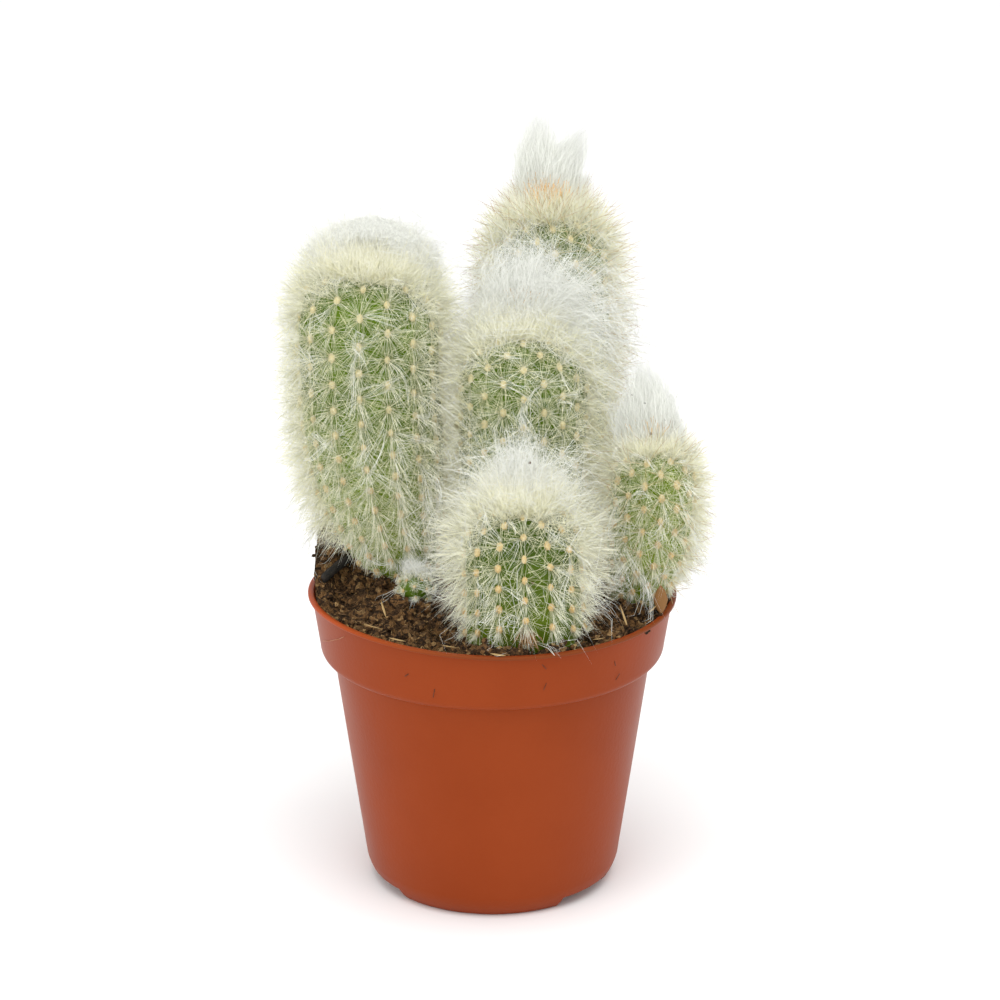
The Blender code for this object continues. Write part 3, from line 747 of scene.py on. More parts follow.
def twig_stick():
    """A rod with knobbly bark, a little crooked, its ends broken off."""
    bm = bmesh.new()
    length = (TWIG_END - TWIG_START).length
    bmesh.ops.create_cone(
        bm, cap_ends=True, segments=18, radius1=TWIG_RADIUS, radius2=TWIG_RADIUS * 0.9, depth=length,
    )
    rods = [edge for edge in bm.edges if abs(edge.verts[0].co.z - edge.verts[1].co.z) > length / 2]
    bmesh.ops.subdivide_edges(bm, edges=rods, cuts=16, use_grid_fill=True)
    for vert in bm.verts:
        place = vert.co.copy()
        angle = math.atan2(place.y, place.x)
        bark = noise.noise(Vector((math.cos(angle) * 2.2, math.sin(angle) * 2.2, place.z * 0.45)))
        share = place.z / length + 0.5
        taper = 1.0 - 0.3 * max(0.0, abs(share - 0.5) * 2 - 0.85) / 0.15
        vert.co.x *= (1.0 + BARK_RELIEF * bark) * taper
        vert.co.y *= (1.0 + BARK_RELIEF * bark) * taper
        vert.co.x += TWIG_CROOK * math.sin(share * math.pi)
        vert.co.z += 0.5 * noise.noise(Vector((place.x, place.y, 4.0)))
    turn = (TWIG_END - TWIG_START).to_track_quat("Z", "Y").to_matrix().to_4x4()
    bmesh.ops.transform(bm, matrix=Matrix.Translation((TWIG_START + TWIG_END) / 2) @ turn, verts=bm.verts)
    return bm


def charred_bark():
    made, nodes, shader, place, mottle = patterned("charred_bark", 0.85, patches=500.0, grain=2200.0)
    nodes.join(
        nodes.mix(mottle.outputs["Patches"], (0.007, 0.006, 0.005), (0.03, 0.022, 0.016)),
        shader.inputs["Base Color"],
    )
    bump(nodes, shader, mottle.outputs["Grain"], distance=0.0003, strength=0.8)
    return made


twig = piece("twig_stick", twig_stick(), charred_bark())
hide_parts("twig")


# The flesh
# The green ribbed skin of each stem, waxy, fresher green low down.
SKIN_ROWS = 44
SKIN_COLUMNS_A_RIB = 5
ROOT_ROWS = 0.07
# the pale cream the skin turns to at its edges: painted sheen, and also the finest hairs seen edge-on
HAIRY_EDGE_SHEEN = (0.62, 0.63, 0.42)
GREENS = {
    # the heights between which each stem turns a fresher green, going down, and the share of its greens kept,
    # which darkens them with painted shade
    "left": (95.0, 150.0, 0.95), "tall": (60.0, 110.0, 0.75), "middle": (60.0, 110.0, 0.85),
    "front": (80.0, 112.0, 0.55), "right": (100.0, 145.0, 0.9), "pup": (60.0, 90.0, 0.9),
}


def flesh_shape(stem):
    """A ball of many faces whose rows and columns are laid over the stem, ribs and all."""
    bm = bmesh.new()
    bmesh.ops.create_uvsphere(
        bm, u_segments=stem.ribs * SKIN_COLUMNS_A_RIB, v_segments=SKIN_ROWS, radius=1.0,
    )
    places = np.array([vert.co for vert in bm.verts])
    share = np.arccos(np.clip(places[:, 2], -1, 1)) / math.pi
    angle = np.arctan2(places[:, 0], -places[:, 1])
    arc = np.where(
        share < 1 - ROOT_ROWS, share / (1 - ROOT_ROWS) * stem.reach,
        stem.reach + (share - 1 + ROOT_ROWS) / ROOT_ROWS * ROOT_DEPTH,
    )
    points = stem.skin(arc, angle)
    foot = stem.middle(-ROOT_DEPTH / stem.length)
    points[share > 0.999] = foot
    for vert, point in zip(bm.verts, points):
        vert.co = point
    bmesh.ops.recalc_face_normals(bm, faces=bm.faces)
    return bm


def cactus_flesh(name, low, high, shade):
    """Waxy green skin, fresher low down, and darkened on each stem by a share of its own, which is painted
    shade. Where it
    turns away from the eye it pales: painted sheen, which also stands for the finest hairs, too many to draw,
    that close up over it."""
    made, nodes, shader, place, mottle = patterned("flesh_" + name, 0.5, patches=120.0, grain=1600.0)
    shader.inputs["Specular IOR Level"].default_value = 0.15
    greens = [(0.075, 0.14, 0.006), (0.12, 0.21, 0.008), (0.17, 0.27, 0.008), (0.24, 0.35, 0.012)]
    # painted shade: each stem's greens are darkened by its own share, most on the front stem
    dark_old, pale_old, dark_young, pale_young = [tuple(c * shade for c in green) for green in greens]
    old = nodes.mix(mottle.outputs["Patches"], dark_old, pale_old)
    young = nodes.mix(mottle.outputs["Patches"], dark_young, pale_young)
    height = nodes.add("SeparateXYZ")
    nodes.join(place, height.inputs[0])
    lower = nodes.ramp(height.outputs["Z"], high * MM, low * MM)
    green = nodes.mix(lower, old, young)
    # painted sheen: the skin pales where it turns away from the eye, standing also for the finest hairs
    edge = nodes.add("LayerWeight").outputs["Facing"]
    nodes.join(nodes.mix(nodes.ramp(edge, 0.5, 1.0), green, HAIRY_EDGE_SHEEN), shader.inputs["Base Color"])
    bump(nodes, shader, mottle.outputs["Grain"], distance=0.00008, strength=0.6)
    return made


for stem in stems.values():
    flesh = piece("flesh_" + stem.name, flesh_shape(stem), cactus_flesh(stem.name, *GREENS[stem.name]))
    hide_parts("stem_" + stem.name)


# The areoles
# Each is a small oval cushion of buff felt on the crest of a rib, more orange on the older parts.
AREOLE_SIZE = (1.0, 1.4, 1.0)
AREOLE_SIZES = (0.85, 1.15)


def areole_cushions(stem, draw):
    bm = bmesh.new()
    places = stem.areoles()
    points = stem.skin(places[:, 0], places[:, 1])
    out, climb, across = stem.directions(places[:, 0], places[:, 1])
    scale = min(1.0, stem.pitch / 6.0) * (0.9 if stem.name == "pup" else 1.0)
    for k in range(len(points)):
        turn = Matrix((across[k], climb[k], out[k])).transposed().to_4x4()
        size = [s * scale * draw.uniform(*AREOLE_SIZES) for s in AREOLE_SIZE]
        shape = Matrix.Translation(Vector(points[k])) @ turn @ Matrix.Diagonal((*size, 1.0))
        bmesh.ops.create_icosphere(bm, subdivisions=1, radius=1.0, matrix=shape)
    return bm


def areole_felt():
    made, nodes, shader, place, mottle = patterned("areole_felt", 0.95, patches=300.0, grain=3000.0)
    height = nodes.add("SeparateXYZ")
    nodes.join(place, height.inputs[0])
    young = nodes.mix(mottle.outputs["Grain"], (0.9, 0.76, 0.4), (0.95, 0.87, 0.55))
    old = nodes.mix(mottle.outputs["Grain"], (0.84, 0.55, 0.2), (0.92, 0.7, 0.34))
    lower = nodes.ramp(height.outputs["Z"], 150 * MM, 95 * MM)
    nodes.join(nodes.mix(lower, young, old), shader.inputs["Base Color"])
    bump(nodes, shader, mottle.outputs["Grain"], distance=0.0002)
    return made


FELT = areole_felt()
felt_draw = np.random.default_rng(17)
for stem in stems.values():
    cushions = piece("areoles_" + stem.name, areole_cushions(stem, felt_draw), FELT)


# The bristles
# From the rim of every areole dozens of fine cream bristles, stiff and straight, spread over the skin and
# stand off it. They cross those of the next areole, and so they veil the green. Every second one is drawn
# with its thick end outwards, which keeps the veil even.
BRISTLES = {
    # stem: count, length, thickness, lowest and highest angle off the skin
    "left": (76, 12.5, 0.09, 5, 55),
    "tall": (60, 10.5, 0.095, 8, 65),
    "middle": (70, 12.0, 0.095, 6, 60),
    "front": (32, 13.0, 0.105, 8, 66),
    "right": (66, 10.0, 0.09, 8, 60),
    "pup": (50, 5.5, 0.09, 5, 80),
}
LENGTH_SHARES = (0.45, 1.05)
BRISTLE_BEND = 0.12
ROOT_SINK = 0.25
AREOLE_RIM = 0.55
STRAIGHT = (0.0, 1.0)
NEEDLE = (1.0, 0.0)
OUT_OF_BOX = (3.0, 3.0, 6.0)
DEEPEST = 1.2
# centre x, centre y, spread x, spread y and height of the mound that strands keep out of
CLEAR_OF_TWIG = (-44.5, -7.0, 8.0, 10.5, 11.5)
CLEAR_OF_STEM = 0.5
CLEAR_OF_RIM = 5.0
NEAR_SOIL = 20.0
SHORTEST = 0.3
BEHIND = -0.25
THIN_BEHIND = 0.6
STRAND_WIDTHS = (0.8, 1.2)


def within_reach(paths):
    """Drops the strands that would stand too far out of the plant's own size."""
    low = (np.array(cad_box[0]) - POT_AXIS) / MM - OUT_OF_BOX
    high = (np.array(cad_box[1]) - POT_AXIS) / MM + OUT_OF_BOX
    return paths[((paths > low) & (paths < high)).all(axis=(1, 2))]


def clear_of_others(stem, paths):
    """Drops the strands that would run into another stem."""
    free = np.ones(len(paths), bool)
    for other in stems.values():
        if other is not stem:
            inside = other.inside(paths[:, 1:].reshape(-1, 3), CLEAR_OF_STEM)
            free &= ~inside.reshape(len(paths), -1).any(axis=1)
    return paths[free]


def near_soil(stem, arc):
    """How much of its length a strand keeps, less the nearer to the soil it grows."""
    return np.clip((stem.reach - arc) / NEAR_SOIL, SHORTEST, 1.0)


def thinned(paths, angle, draw):
    """Drops some of the strands that grow on the side turned away from the viewer."""
    chance = np.where(np.cos(angle) < BEHIND, THIN_BEHIND, 1.0)
    return paths[draw.random(len(paths)) < chance]


def strands(name, paths, width, shape, finish, draw):
    """Draws every path as a thin three-sided tube that ends in a point, all in one mesh. The mesh says how
    far along its strand each point lies, and which shade the strand has."""
    paths = within_reach(paths)
    count, points = paths.shape[:2]
    section = bpy.data.curves.new("section", "CURVE")
    ring = section.splines.new("POLY")
    ring.points.add(2)
    for k in range(3):
        ring.points[k].co = (math.cos(math.tau * k / 3), -math.sin(math.tau * k / 3), 0.0, 1.0)
    ring.use_cyclic_u = True
    section_object = link(bpy.data.objects.new("section", section))

    curve = bpy.data.curves.new(name, "CURVE")
    curve.dimensions = "3D"
    curve.bevel_mode = "OBJECT"
    curve.bevel_object = section_object
    curve.use_fill_caps = shape[0] > 0
    places = np.concatenate([paths, np.ones((count, points, 1))], axis=2)
    radii = np.outer(draw.uniform(*STRAND_WIDTHS, count) * width / 2, shape)
    for place, radius in zip(places, radii):
        strand = curve.splines.new("POLY")
        strand.points.add(points - 1)
        strand.points.foreach_set("co", place.ravel())
        strand.points.foreach_set("radius", radius)
        strand.use_smooth = True
    curve_object = link(bpy.data.objects.new(name, curve))
    bpy.context.view_layer.update()
    graph = bpy.context.evaluated_depsgraph_get()
    mesh = bpy.data.meshes.new_from_object(curve_object.evaluated_get(graph))
    bpy.data.objects.remove(curve_object)
    bpy.data.objects.remove(section_object)

    shade = draw.random(count)
    along = np.tile(np.repeat(np.linspace(0, 1, points), 3), count)
    tone = np.repeat(shade, points * 3)
    if shape[0] > 0:
        # the end faces of the roots come first in the mesh, those of the last strand before all others
        along = np.concatenate([np.zeros(count * 3), along])
        tone = np.concatenate([np.repeat(shade[::-1], 3), tone])
    for key, values in (("along", along), ("tone", tone)):
        mesh.attributes.new(key, "FLOAT", "POINT").data.foreach_set("value", values.astype(np.float32))
    bm = bmesh.new()
    bm.from_mesh(mesh)
    bmesh.ops.remove_doubles(bm, verts=bm.verts, dist=1e-5)
    made = piece(name, bm, finish)
    return made


def spread(base, out, climb, across, count, low, high, draw):
    """For each place, a fan of directions all round it, raised off the skin by angles between two. The roots
    stand in a ring round the place."""
    turn = (np.arange(count)[None] + draw.uniform(0, 1, (len(base), count))) * (math.tau / count)
    turn += draw.uniform(0, math.tau, (len(base), 1))
    rise = np.radians(draw.uniform(low, high, (len(base), count)))
    flat = climb[:, None] * np.cos(turn)[..., None] + across[:, None] * np.sin(turn)[..., None]
    way = flat * np.cos(rise)[..., None] + out[:, None] * np.sin(rise)[..., None]
    root = base[:, None] + flat * (AREOLE_RIM * np.cos(rise))[..., None]
    up = np.repeat(out[:, None], count, axis=1)
    return root.reshape(-1, 3), way.reshape(-1, 3), up.reshape(-1, 3)


def straight_paths(root, way, up, length, shares, bend, draw):
    """Nearly straight strands: they start just under the skin and bend a little, each its own way."""
    share = np.array(shares)[None, :, None]
    bow = draw.normal(0, bend, root.shape) - up * bend
    reach = (way[:, None] * share + bow[:, None] * share ** 2) * length[:, None, None]
    return root[:, None] + reach - up[:, None] * ROOT_SINK * (1 - share)


def clear_of_soil(paths):
    """Leaves out the strands that would run deep into the soil or the pot's rim, and those that would hide
    the twig."""
    x, y = paths[..., 0], paths[..., 1]
    level = np.full(x.shape, SOIL_LEVEL)
    for centre_x, centre_y, spread_x, spread_y, rise in (*BANKS, CLEAR_OF_TWIG):
        level += rise * np.exp(-((x - centre_x) / spread_x) ** 2 - ((y - centre_y) / spread_y) ** 2)
    level[np.hypot(x, y) > RIM_RADIUS - CLEAR_OF_RIM] = POT_HEIGHT + 0.3
    return paths[(paths[..., 2] > level - DEEPEST).all(axis=1)]


def bristle_finish(name, root, tip, tip_from=0.1, tip_to=0.9, glow=0.12):
    """Bristle or hair, one colour at the root and another at the tip, each strand a shade of its own. Its
    faint glow stands for the light that comes through so thin a thread."""
    made = plain_material(name, root, 0.6)
    nodes = Nodes(made.node_tree)
    shader = made.node_tree.nodes["Principled BSDF"]
    shader.inputs["Specular IOR Level"].default_value = 0.3
    shader.inputs["Emission Color"].default_value = (*tip, 1.0)
    shader.inputs["Emission Strength"].default_value = glow
    along = nodes.add("Attribute", attribute_name="along").outputs["Fac"]
    tone = nodes.add("Attribute", attribute_name="tone").outputs["Fac"]
    colour = nodes.mix(nodes.ramp(along, tip_from, tip_to), root, tip)
    shade = nodes.sum("MULTIPLY_ADD", tone, 0.2, 0.84)
    hue = nodes.add("HueSaturation")
    nodes.join(colour, hue.inputs["Color"])
    nodes.join(shade, hue.inputs["Value"])
    nodes.join(hue.outputs["Color"], shader.inputs["Base Color"])
    return made


CREAM = bristle_finish("cream_bristle", (0.84, 0.81, 0.52), (0.85, 0.85, 0.65))
bristle_draw = np.random.default_rng(29)
for stem in stems.values():
    count, length, width, low, high = BRISTLES[stem.name]
    places = stem.areoles()
    base = stem.skin(places[:, 0], places[:, 1])
    out, climb, across = stem.directions(places[:, 0], places[:, 1])
    root, way, up = spread(base, out, climb, across, count, low, high, bristle_draw)
    lengths = length * bristle_draw.uniform(*LENGTH_SHARES, len(root))
    lengths *= np.repeat(near_soil(stem, places[:, 0]), count)
    paths = straight_paths(root, way, up, lengths, STRAIGHT, BRISTLE_BEND, bristle_draw)
    paths[::2] = paths[::2, ::-1]
    paths = thinned(paths, np.repeat(places[:, 1], count), bristle_draw)
    paths = clear_of_soil(clear_of_others(stem, paths))
    strands("bristles_" + stem.name, paths, width, NEEDLE, CREAM, bristle_draw)


# The young bristles
# At the top of each stem the areoles crowd together in spirals. Their bristles are paler and yellower, and
# stand up and outwards in a dense brush that hides the green.
YOUNG = {
    # stem: gap between areoles, bristles on each, length
    "left": (1.5, 28, 11.0),
    "tall": (1.3, 32, 13.0),
    "middle": (1.4, 30, 12.5),
    "front": (1.4, 26, 13.5),
    "right": (1.3, 28, 9.0),
    "pup": (1.2, 12, 3.4),
}
YOUNG_RISE = (30, 88)
YOUNG_LENGTHS = (0.55, 1.1)
YOUNG_THICKNESS = 0.11
YOUNG_LEAN = 0.5
YOUNG_BEND = 0.08
YOUNG_CROWDING = 0.9
BRUSH_REACH = 0.97
GOLDEN_ANGLE = math.pi * (3 - math.sqrt(5))
YELLOW = bristle_finish("young_bristle", (0.83, 0.81, 0.53), (0.85, 0.84, 0.71), glow=0.15)


def young_areoles(stem, gap, reach):
    """Places in a spiral over the top of a stem, with an even gap between neighbours."""
    count = int(math.pi * reach ** 2 * YOUNG_CROWDING / gap ** 2)
    order = np.arange(count) + 0.5
    return reach * np.sqrt(order / count), order * GOLDEN_ANGLE


for stem in stems.values():
    gap, count, length = YOUNG[stem.name]
    arc, angle = young_areoles(stem, gap, stem.crown * BRUSH_REACH)
    out, climb, across = stem.directions(arc, angle)
    base = stem.skin(arc, angle, False)
    root, way, up = spread(base, out, climb, across, count, *YOUNG_RISE, bristle_draw)
    lean = np.repeat(climb * (YOUNG_LEAN * np.minimum(arc / stem.crown, 1.0))[:, None], count, axis=0)
    lengths = length * bristle_draw.uniform(*YOUNG_LENGTHS, len(root))
    paths = straight_paths(root, unit(way + lean), up, lengths, STRAIGHT, YOUNG_BEND, bristle_draw)
    strands("brush_" + stem.name, paths, YOUNG_THICKNESS, NEEDLE, YELLOW, bristle_draw)


# The central spines
# On the tall and the right stem each areole also has a few longer, stiffer spines with red-brown tips,
# which stand out past the veil of bristles. The youngest, on the crowns, are amber and as yet shorter.
CENTRAL = {
    # stem: spines on each areole, length, thickness
    "tall": (5, 13.0, 0.16),
    "right": (3, 10.5, 0.15),
}
CROWN_GAP = 3.4
SPINE_RISE = (38, 80)
SPINE_LENGTHS = (0.7, 1.1)
SPINE_BEND = 0.04
SPINE_SHARES = (0.0, 0.12, 0.6, 1.0)
SPINE_SHAPE = (0.0, 1.0, 0.8, 0.0)
AMBER_SPINES = {
    # stem: count, length, how far from the top the nearest and the farthest grow
    "tall": (200, 10.0, 2.5, 9.0),
    "middle": (70, 10.0, 3.0, 6.0),
    "right": (35, 8.0, 3.0, 5.5),
}
AMBER_LENGTHS = (0.7, 1.05)
AMBER_THICKNESS = 0.15
AMBER_ABOVE_SKIN = 1.5
AMBER_CLIMB = 0.35
AMBER_OUT = 0.9
AMBER_WIDE = 0.55
AMBER_UNEVEN = 0.22
RUSTY = bristle_finish("rusty_spine", (0.86, 0.72, 0.4), (0.36, 0.17, 0.06), 0.4, 0.9, 0.0)
for name, (count, length, width) in CENTRAL.items():
    stem = stems[name]
    old = stem.areoles()
    arc, angle = young_areoles(stem, CROWN_GAP, stem.crown * BRUSH_REACH)
    arc = np.concatenate([old[:, 0], arc])
    angle = np.concatenate([old[:, 1], angle])
    out, climb, across = stem.directions(arc, angle)
    root, way, up = spread(stem.skin(arc, angle), out, climb, across, count, *SPINE_RISE, bristle_draw)
    lengths = length * bristle_draw.uniform(*SPINE_LENGTHS, len(root))
    paths = straight_paths(root, way, up, lengths, SPINE_SHARES, SPINE_BEND, bristle_draw)
    strands("spines_" + name, paths, width, SPINE_SHAPE, RUSTY, bristle_draw)

AMBER = bristle_finish("amber_spine", (0.75, 0.46, 0.18), (0.87, 0.74, 0.36), 0.0, 0.6, 0.03)
for name, (count, length, nearest, farthest) in AMBER_SPINES.items():
    stem = stems[name]
    arc = bristle_draw.uniform(nearest, farthest, count)
    angle = bristle_draw.normal(0, AMBER_WIDE, count)
    out, climb, across = stem.directions(arc, angle)
    uneven = bristle_draw.normal(0, AMBER_UNEVEN, out.shape)
    way = unit(climb * AMBER_CLIMB + out * AMBER_OUT + uneven)
    lengths = length * bristle_draw.uniform(*AMBER_LENGTHS, count)
    root = stem.skin(arc, angle, False) + out * AMBER_ABOVE_SKIN
    paths = straight_paths(root, way, out, lengths, STRAIGHT, SPINE_BEND, bristle_draw)
    strands("amber_" + name, paths[:, ::-1], AMBER_THICKNESS, NEEDLE, AMBER, bristle_draw)


# The fine hair
# White hairs, softer than the bristles, grow from the same areoles and stand nearly straight off the skin.
# They let the green through where they point at the viewer, and close to a white haze round each stem's
# sides. Below the crown they make a thicker collar, and the flanks are shaggy all the way down.
HAIRS = {
    # stem: hairs an areole, length, lowest angle off the skin, how far they hang
    "left": (52, 14.0, 46, 0.12),
    "tall": (36, 14.0, 48, 0.06),
    "middle": (38, 14.5, 50, 0.05),
    "front": (42, 16.0, 58, 0.12),
    "right": (42, 12.0, 46, 0.2),
    "pup": (50, 6.5, 20, 0.1),
}
COLLAR = {
    # stem: hairs tried, length, how much lower they grow on the flanks, in reaches of the crown
    "left": (6600, 11.5, 1.1),
    "tall": (4000, 12.0, 2.0),
    "middle": (5000, 14.0, 1.5),
    "front": (2400, 14.5, 1.9),
    "right": (2500, 10.0, 1.2),
}
SHAG = {
    # stem: hairs tried, length
    "left": (4200, 14.0),
    "tall": (1800, 12.0),
    "middle": (3200, 18.5),
    "front": (1900, 19.0),
    "right": (1600, 10.5),
}
COLLAR_TOP = 0.75
COLLAR_IN_FRONT = 0.2
COLLAR_CROWDING = 2.6
SHAG_CROWDING = 1.5
SHAG_FROM = 0.25
SHAG_BELOW_SOIL = 5.0
SHAG_RISE = (15, 75)
HAIR_LEAN = 0.45
LEAN_TURNS = 2.0
HAIR_BEND = 0.14
HAIR_THICKNESS = 0.1
SHAG_THICKNESS = 0.145
HAIR_SHARES = (0.0, 0.6, 1.0)
HAIR_SHAPE = (0.0, 1.0, 0.0)
HAZE = bristle_finish("fine_hair", (0.83, 0.82, 0.62), (0.85, 0.85, 0.72), glow=0.14)
hair_draw = np.random.default_rng(43)


def hang_down(paths, length, hang):
    """Bends strands down under their own weight, most at their tips."""
    share = np.linspace(0, 1, paths.shape[1])
    paths[..., 2] -= length[:, None] * hang * share ** 2
    return paths


def push_out(stem, paths, spare):
    """Moves the points of a path that fall inside the stem out to its skin and a little more."""
    f = np.linspace(0.0, 1.0, 60)
    line, radii = stem.middle(f), stem.radius(f)
    flat = paths.reshape(-1, 3)
    offset = flat[:, None, :] - line[None]
    gap = np.linalg.norm(offset, axis=2) - radii[None]
    nearest = gap.argmin(axis=1)
    rows = np.arange(len(flat))
    short = np.maximum(spare - gap[rows, nearest], 0.0)
    flat = flat + unit(offset[rows, nearest]) * short[:, None]
    return flat.reshape(paths.shape)


def standing_hair(stem, arc, angle, count, low, high, length, shares, draw):
    """Hairs that stand off the skin. High on the stem they lean up, near the soil they lean down."""
    base = stem.skin(arc, angle)
    out, climb, across = stem.directions(arc, angle)
    root, way, up = spread(base, out, climb, across, count, low, high, draw)
    lean = climb * (HAIR_LEAN * (1 - LEAN_TURNS * arc / stem.reach))[:, None]
    way = unit(way + np.repeat(lean, count, axis=0))
    lengths = length * draw.uniform(*LENGTH_SHARES, len(root)) * np.repeat(near_soil(stem, arc), count)
    paths = straight_paths(root, way, up, lengths, shares, HAIR_BEND, draw)
    return thinned(hang_down(paths, lengths, HAIRS[stem.name][3]), np.repeat(angle, count), draw)


def flank(angle):
    """Nought on the front of a stem, and one from its flanks to its back."""
    return np.minimum(1 - np.cos(angle), 1.0)


def collar_places(stem, tried, depth, draw):
    """Places below the crown, hardly any in front, and reaching lower towards the flanks."""
    angle = draw.uniform(0, math.tau, tried)
    angle = angle[draw.random(tried) < COLLAR_CROWDING * flank(angle)]
    lowest = COLLAR_IN_FRONT + depth * flank(angle)
    return stem.crown * (COLLAR_TOP + lowest * draw.random(len(angle))), angle


def shag_places(stem, tried, draw):
    """Places all down the flanks and the back."""
    angle = draw.uniform(0, math.tau, tried)
    angle = angle[draw.random(tried) < SHAG_CROWDING * (flank(angle) - SHAG_FROM)]
    return draw.uniform(stem.crown, stem.reach + SHAG_BELOW_SOIL, len(angle)), angle


for stem in stems.values():
    count, length, low, hang = HAIRS[stem.name]
    paths = standing_hair(stem, *stem.areoles().T, count, low, 90, length, HAIR_SHARES, hair_draw)
    paths = clear_of_others(stem, clear_of_soil(paths))
    strands("hair_" + stem.name, paths, HAIR_THICKNESS, HAIR_SHAPE, HAZE, hair_draw)

for name in COLLAR:
    stem = stems[name]
    tried, length, depth = COLLAR[name]
    places = collar_places(stem, tried, depth, hair_draw)
    paths = standing_hair(stem, *places, 1, *SHAG_RISE, length, STRAIGHT, hair_draw)
    tried, length = SHAG[name]
    places = shag_places(stem, tried, hair_draw)
    shag = standing_hair(stem, *places, 1, *SHAG_RISE, length, STRAIGHT, hair_draw)
    paths = clear_of_others(stem, clear_of_soil(np.concatenate([paths, shag])))
    strands("shag_" + name, paths, SHAG_THICKNESS, NEEDLE, HAZE, hair_draw)


# The loose threads
# A few of the hairs are much longer and thicker. They curl together in wisps, cross the stems' faces and hang
# down to the soil.
WOOL = bristle_finish("white_wool", (0.76, 0.77, 0.71), (0.79, 0.8, 0.75), glow=0.22)
THREADS = {
    # stem: wisps, hairs in each, length, how far they hang
    "left": (180, 6, 17.0, 0.45),
    "tall": (90, 4, 14.0, 0.3),
    "middle": (150, 6, 18.0, 0.35),
    "front": (100, 5, 16.0, 0.5),
    "right": (110, 6, 16.0, 0.6),
    "pup": (16, 4, 8.0, 0.4),
}
THREAD_RISE = (6, 45)
THREAD_LENGTHS = (0.5, 1.2)
THREAD_LOOSE = 0.1
THREAD_CURL = 0.24
WISP_BEATS = (0.4, 1.1)
THREAD_CLEAR = 0.9
THREAD_THICKNESS = 0.12
THREAD_SHAPE = (0.0, 1.0, 0.9, 0.7, 0.0)


def curly_paths(root, way, length, hang, curl, points, phase, beat):
    """Soft strands that start out one way, wander, and bend down under their own weight."""
    share = np.linspace(0, 1, points)[None, :, None]
    sway = (np.sin(phase[:, None] + beat[:, None] * share) - np.sin(phase[:, None])) * curl
    drop = np.array((0.0, 0.0, -1.0)) * hang * share ** 2
    reach = way[:, None] * share + sway * np.sqrt(share) + drop
    return root[:, None] + reach * length[:, None, None]


def wisps(root, way, hairs, loose, draw):
    """Repeats each root and direction as a wisp of hairs that differ a little and curl alike."""
    phase = np.repeat(draw.uniform(0, math.tau, root.shape), hairs, axis=0)
    beat = np.repeat(draw.uniform(*WISP_BEATS, root.shape) * math.tau, hairs, axis=0)
    root = np.repeat(root, hairs, axis=0)
    way = unit(np.repeat(way, hairs, axis=0) + draw.normal(0, loose, root.shape))
    return root, way, phase + draw.normal(0, 0.3, root.shape), beat


for stem in stems.values():
    count, hairs, length, hang = THREADS[stem.name]
    places = stem.areoles()[hair_draw.integers(0, len(stem.areoles()), count)]
    base = stem.skin(places[:, 0], places[:, 1])
    out, climb, across = stem.directions(places[:, 0], places[:, 1])
    root, way, up = spread(base, out, climb, across, 1, *THREAD_RISE, hair_draw)
    root, way, phase, beat = wisps(root, way, hairs, THREAD_LOOSE, hair_draw)
    lengths = np.repeat(length * hair_draw.uniform(*THREAD_LENGTHS, count), hairs)
    paths = curly_paths(root, way, lengths, hang, THREAD_CURL, len(THREAD_SHAPE), phase, beat)
    paths[:, 1:] = push_out(stem, paths[:, 1:], THREAD_CLEAR)
    paths = clear_of_others(stem, clear_of_soil(paths))
    strands("threads_" + stem.name, paths, THREAD_THICKNESS, THREAD_SHAPE, WOOL, hair_draw)


# The wool
# White wool wells up between the young bristles, in locks of many curling hairs: a low dome on the left stem,
# a peaked tuft on the tall one, swept locks on the others. A lock's hairs draw together towards its tip.
LOCKS = {
    # stem: hairs, hairs in a lock, how far out the roots go, the free locks' length, how untidy they are, and
    # each lock's tip, spread and share
    "left": (7000, 14, 0.98, 9.5, 0.2, (
        (None, 0.0, 0.7),
        ((-17.0, 12.0, 181.0), 6.0, 0.16),
        ((-50.0, 11.0, 181.0), 5.0, 0.14),
    )),
    "tall": (4800, 40, 0.55, 11.0, 0.11, (
        ((13.4, 47.0, 215.0), 0.8, 0.4),
        ((25.6, 47.0, 208.5), 1.3, 0.36),
        ((9.5, 48.0, 197.0), 1.5, 0.08),
        ((27.0, 48.0, 195.0), 1.8, 0.08),
        (None, 0.0, 0.08),
    )),
    "middle": (5400, 24, 0.6, 13.0, 0.26, (
        ((8.0, 11.0, 184.0), 3.0, 0.22),
        ((17.0, 11.0, 180.5), 3.5, 0.18),
        ((28.0, 9.0, 171.5), 4.5, 0.12),
        ((41.5, 6.0, 159.0), 5.0, 0.1),
        ((44.5, 0.0, 147.0), 5.0, 0.1),
        ((-6.5, 10.0, 170.0), 3.5, 0.1),
        ((-13.5, 5.0, 158.0), 3.5, 0.04),
        (None, 0.0, 0.14),
    )),
    "front": (1350, 14, 0.5, 11.0, 0.24, (
        ((7.6, -29.0, 142.0), 2.2, 0.32),
        ((16.0, -29.0, 138.5), 2.6, 0.16),
        ((29.0, -30.0, 129.0), 3.0, 0.1),
        ((-14.0, -30.0, 133.5), 4.0, 0.12),
        ((-17.5, -33.0, 119.0), 3.0, 0.05),
        ((30.0, -33.0, 117.0), 3.0, 0.05),
        (None, 0.0, 0.2),
    )),
    "right": (5000, 40, 0.9, 8.5, 0.14, (
        ((43.0, 0.0, 154.5), 1.6, 0.32),
        ((46.0, -1.0, 148.0), 2.2, 0.2),
        ((37.0, -1.0, 143.0), 2.4, 0.18),
        ((50.5, -2.0, 139.0), 2.0, 0.14),
        (None, 0.0, 0.16),
    )),
    "pup": (500, 20, 1.0, 5.0, 0.3, ((None, 0.0, 1.0),)),
}
BARE_FRONT = 0.85
FORWARD_LEAN = 0.2
BULGE_OUT = 0.3
BULGE_UP = 0.12
LOCK_WIDTH = 1.3
TIP_MESS = 0.45
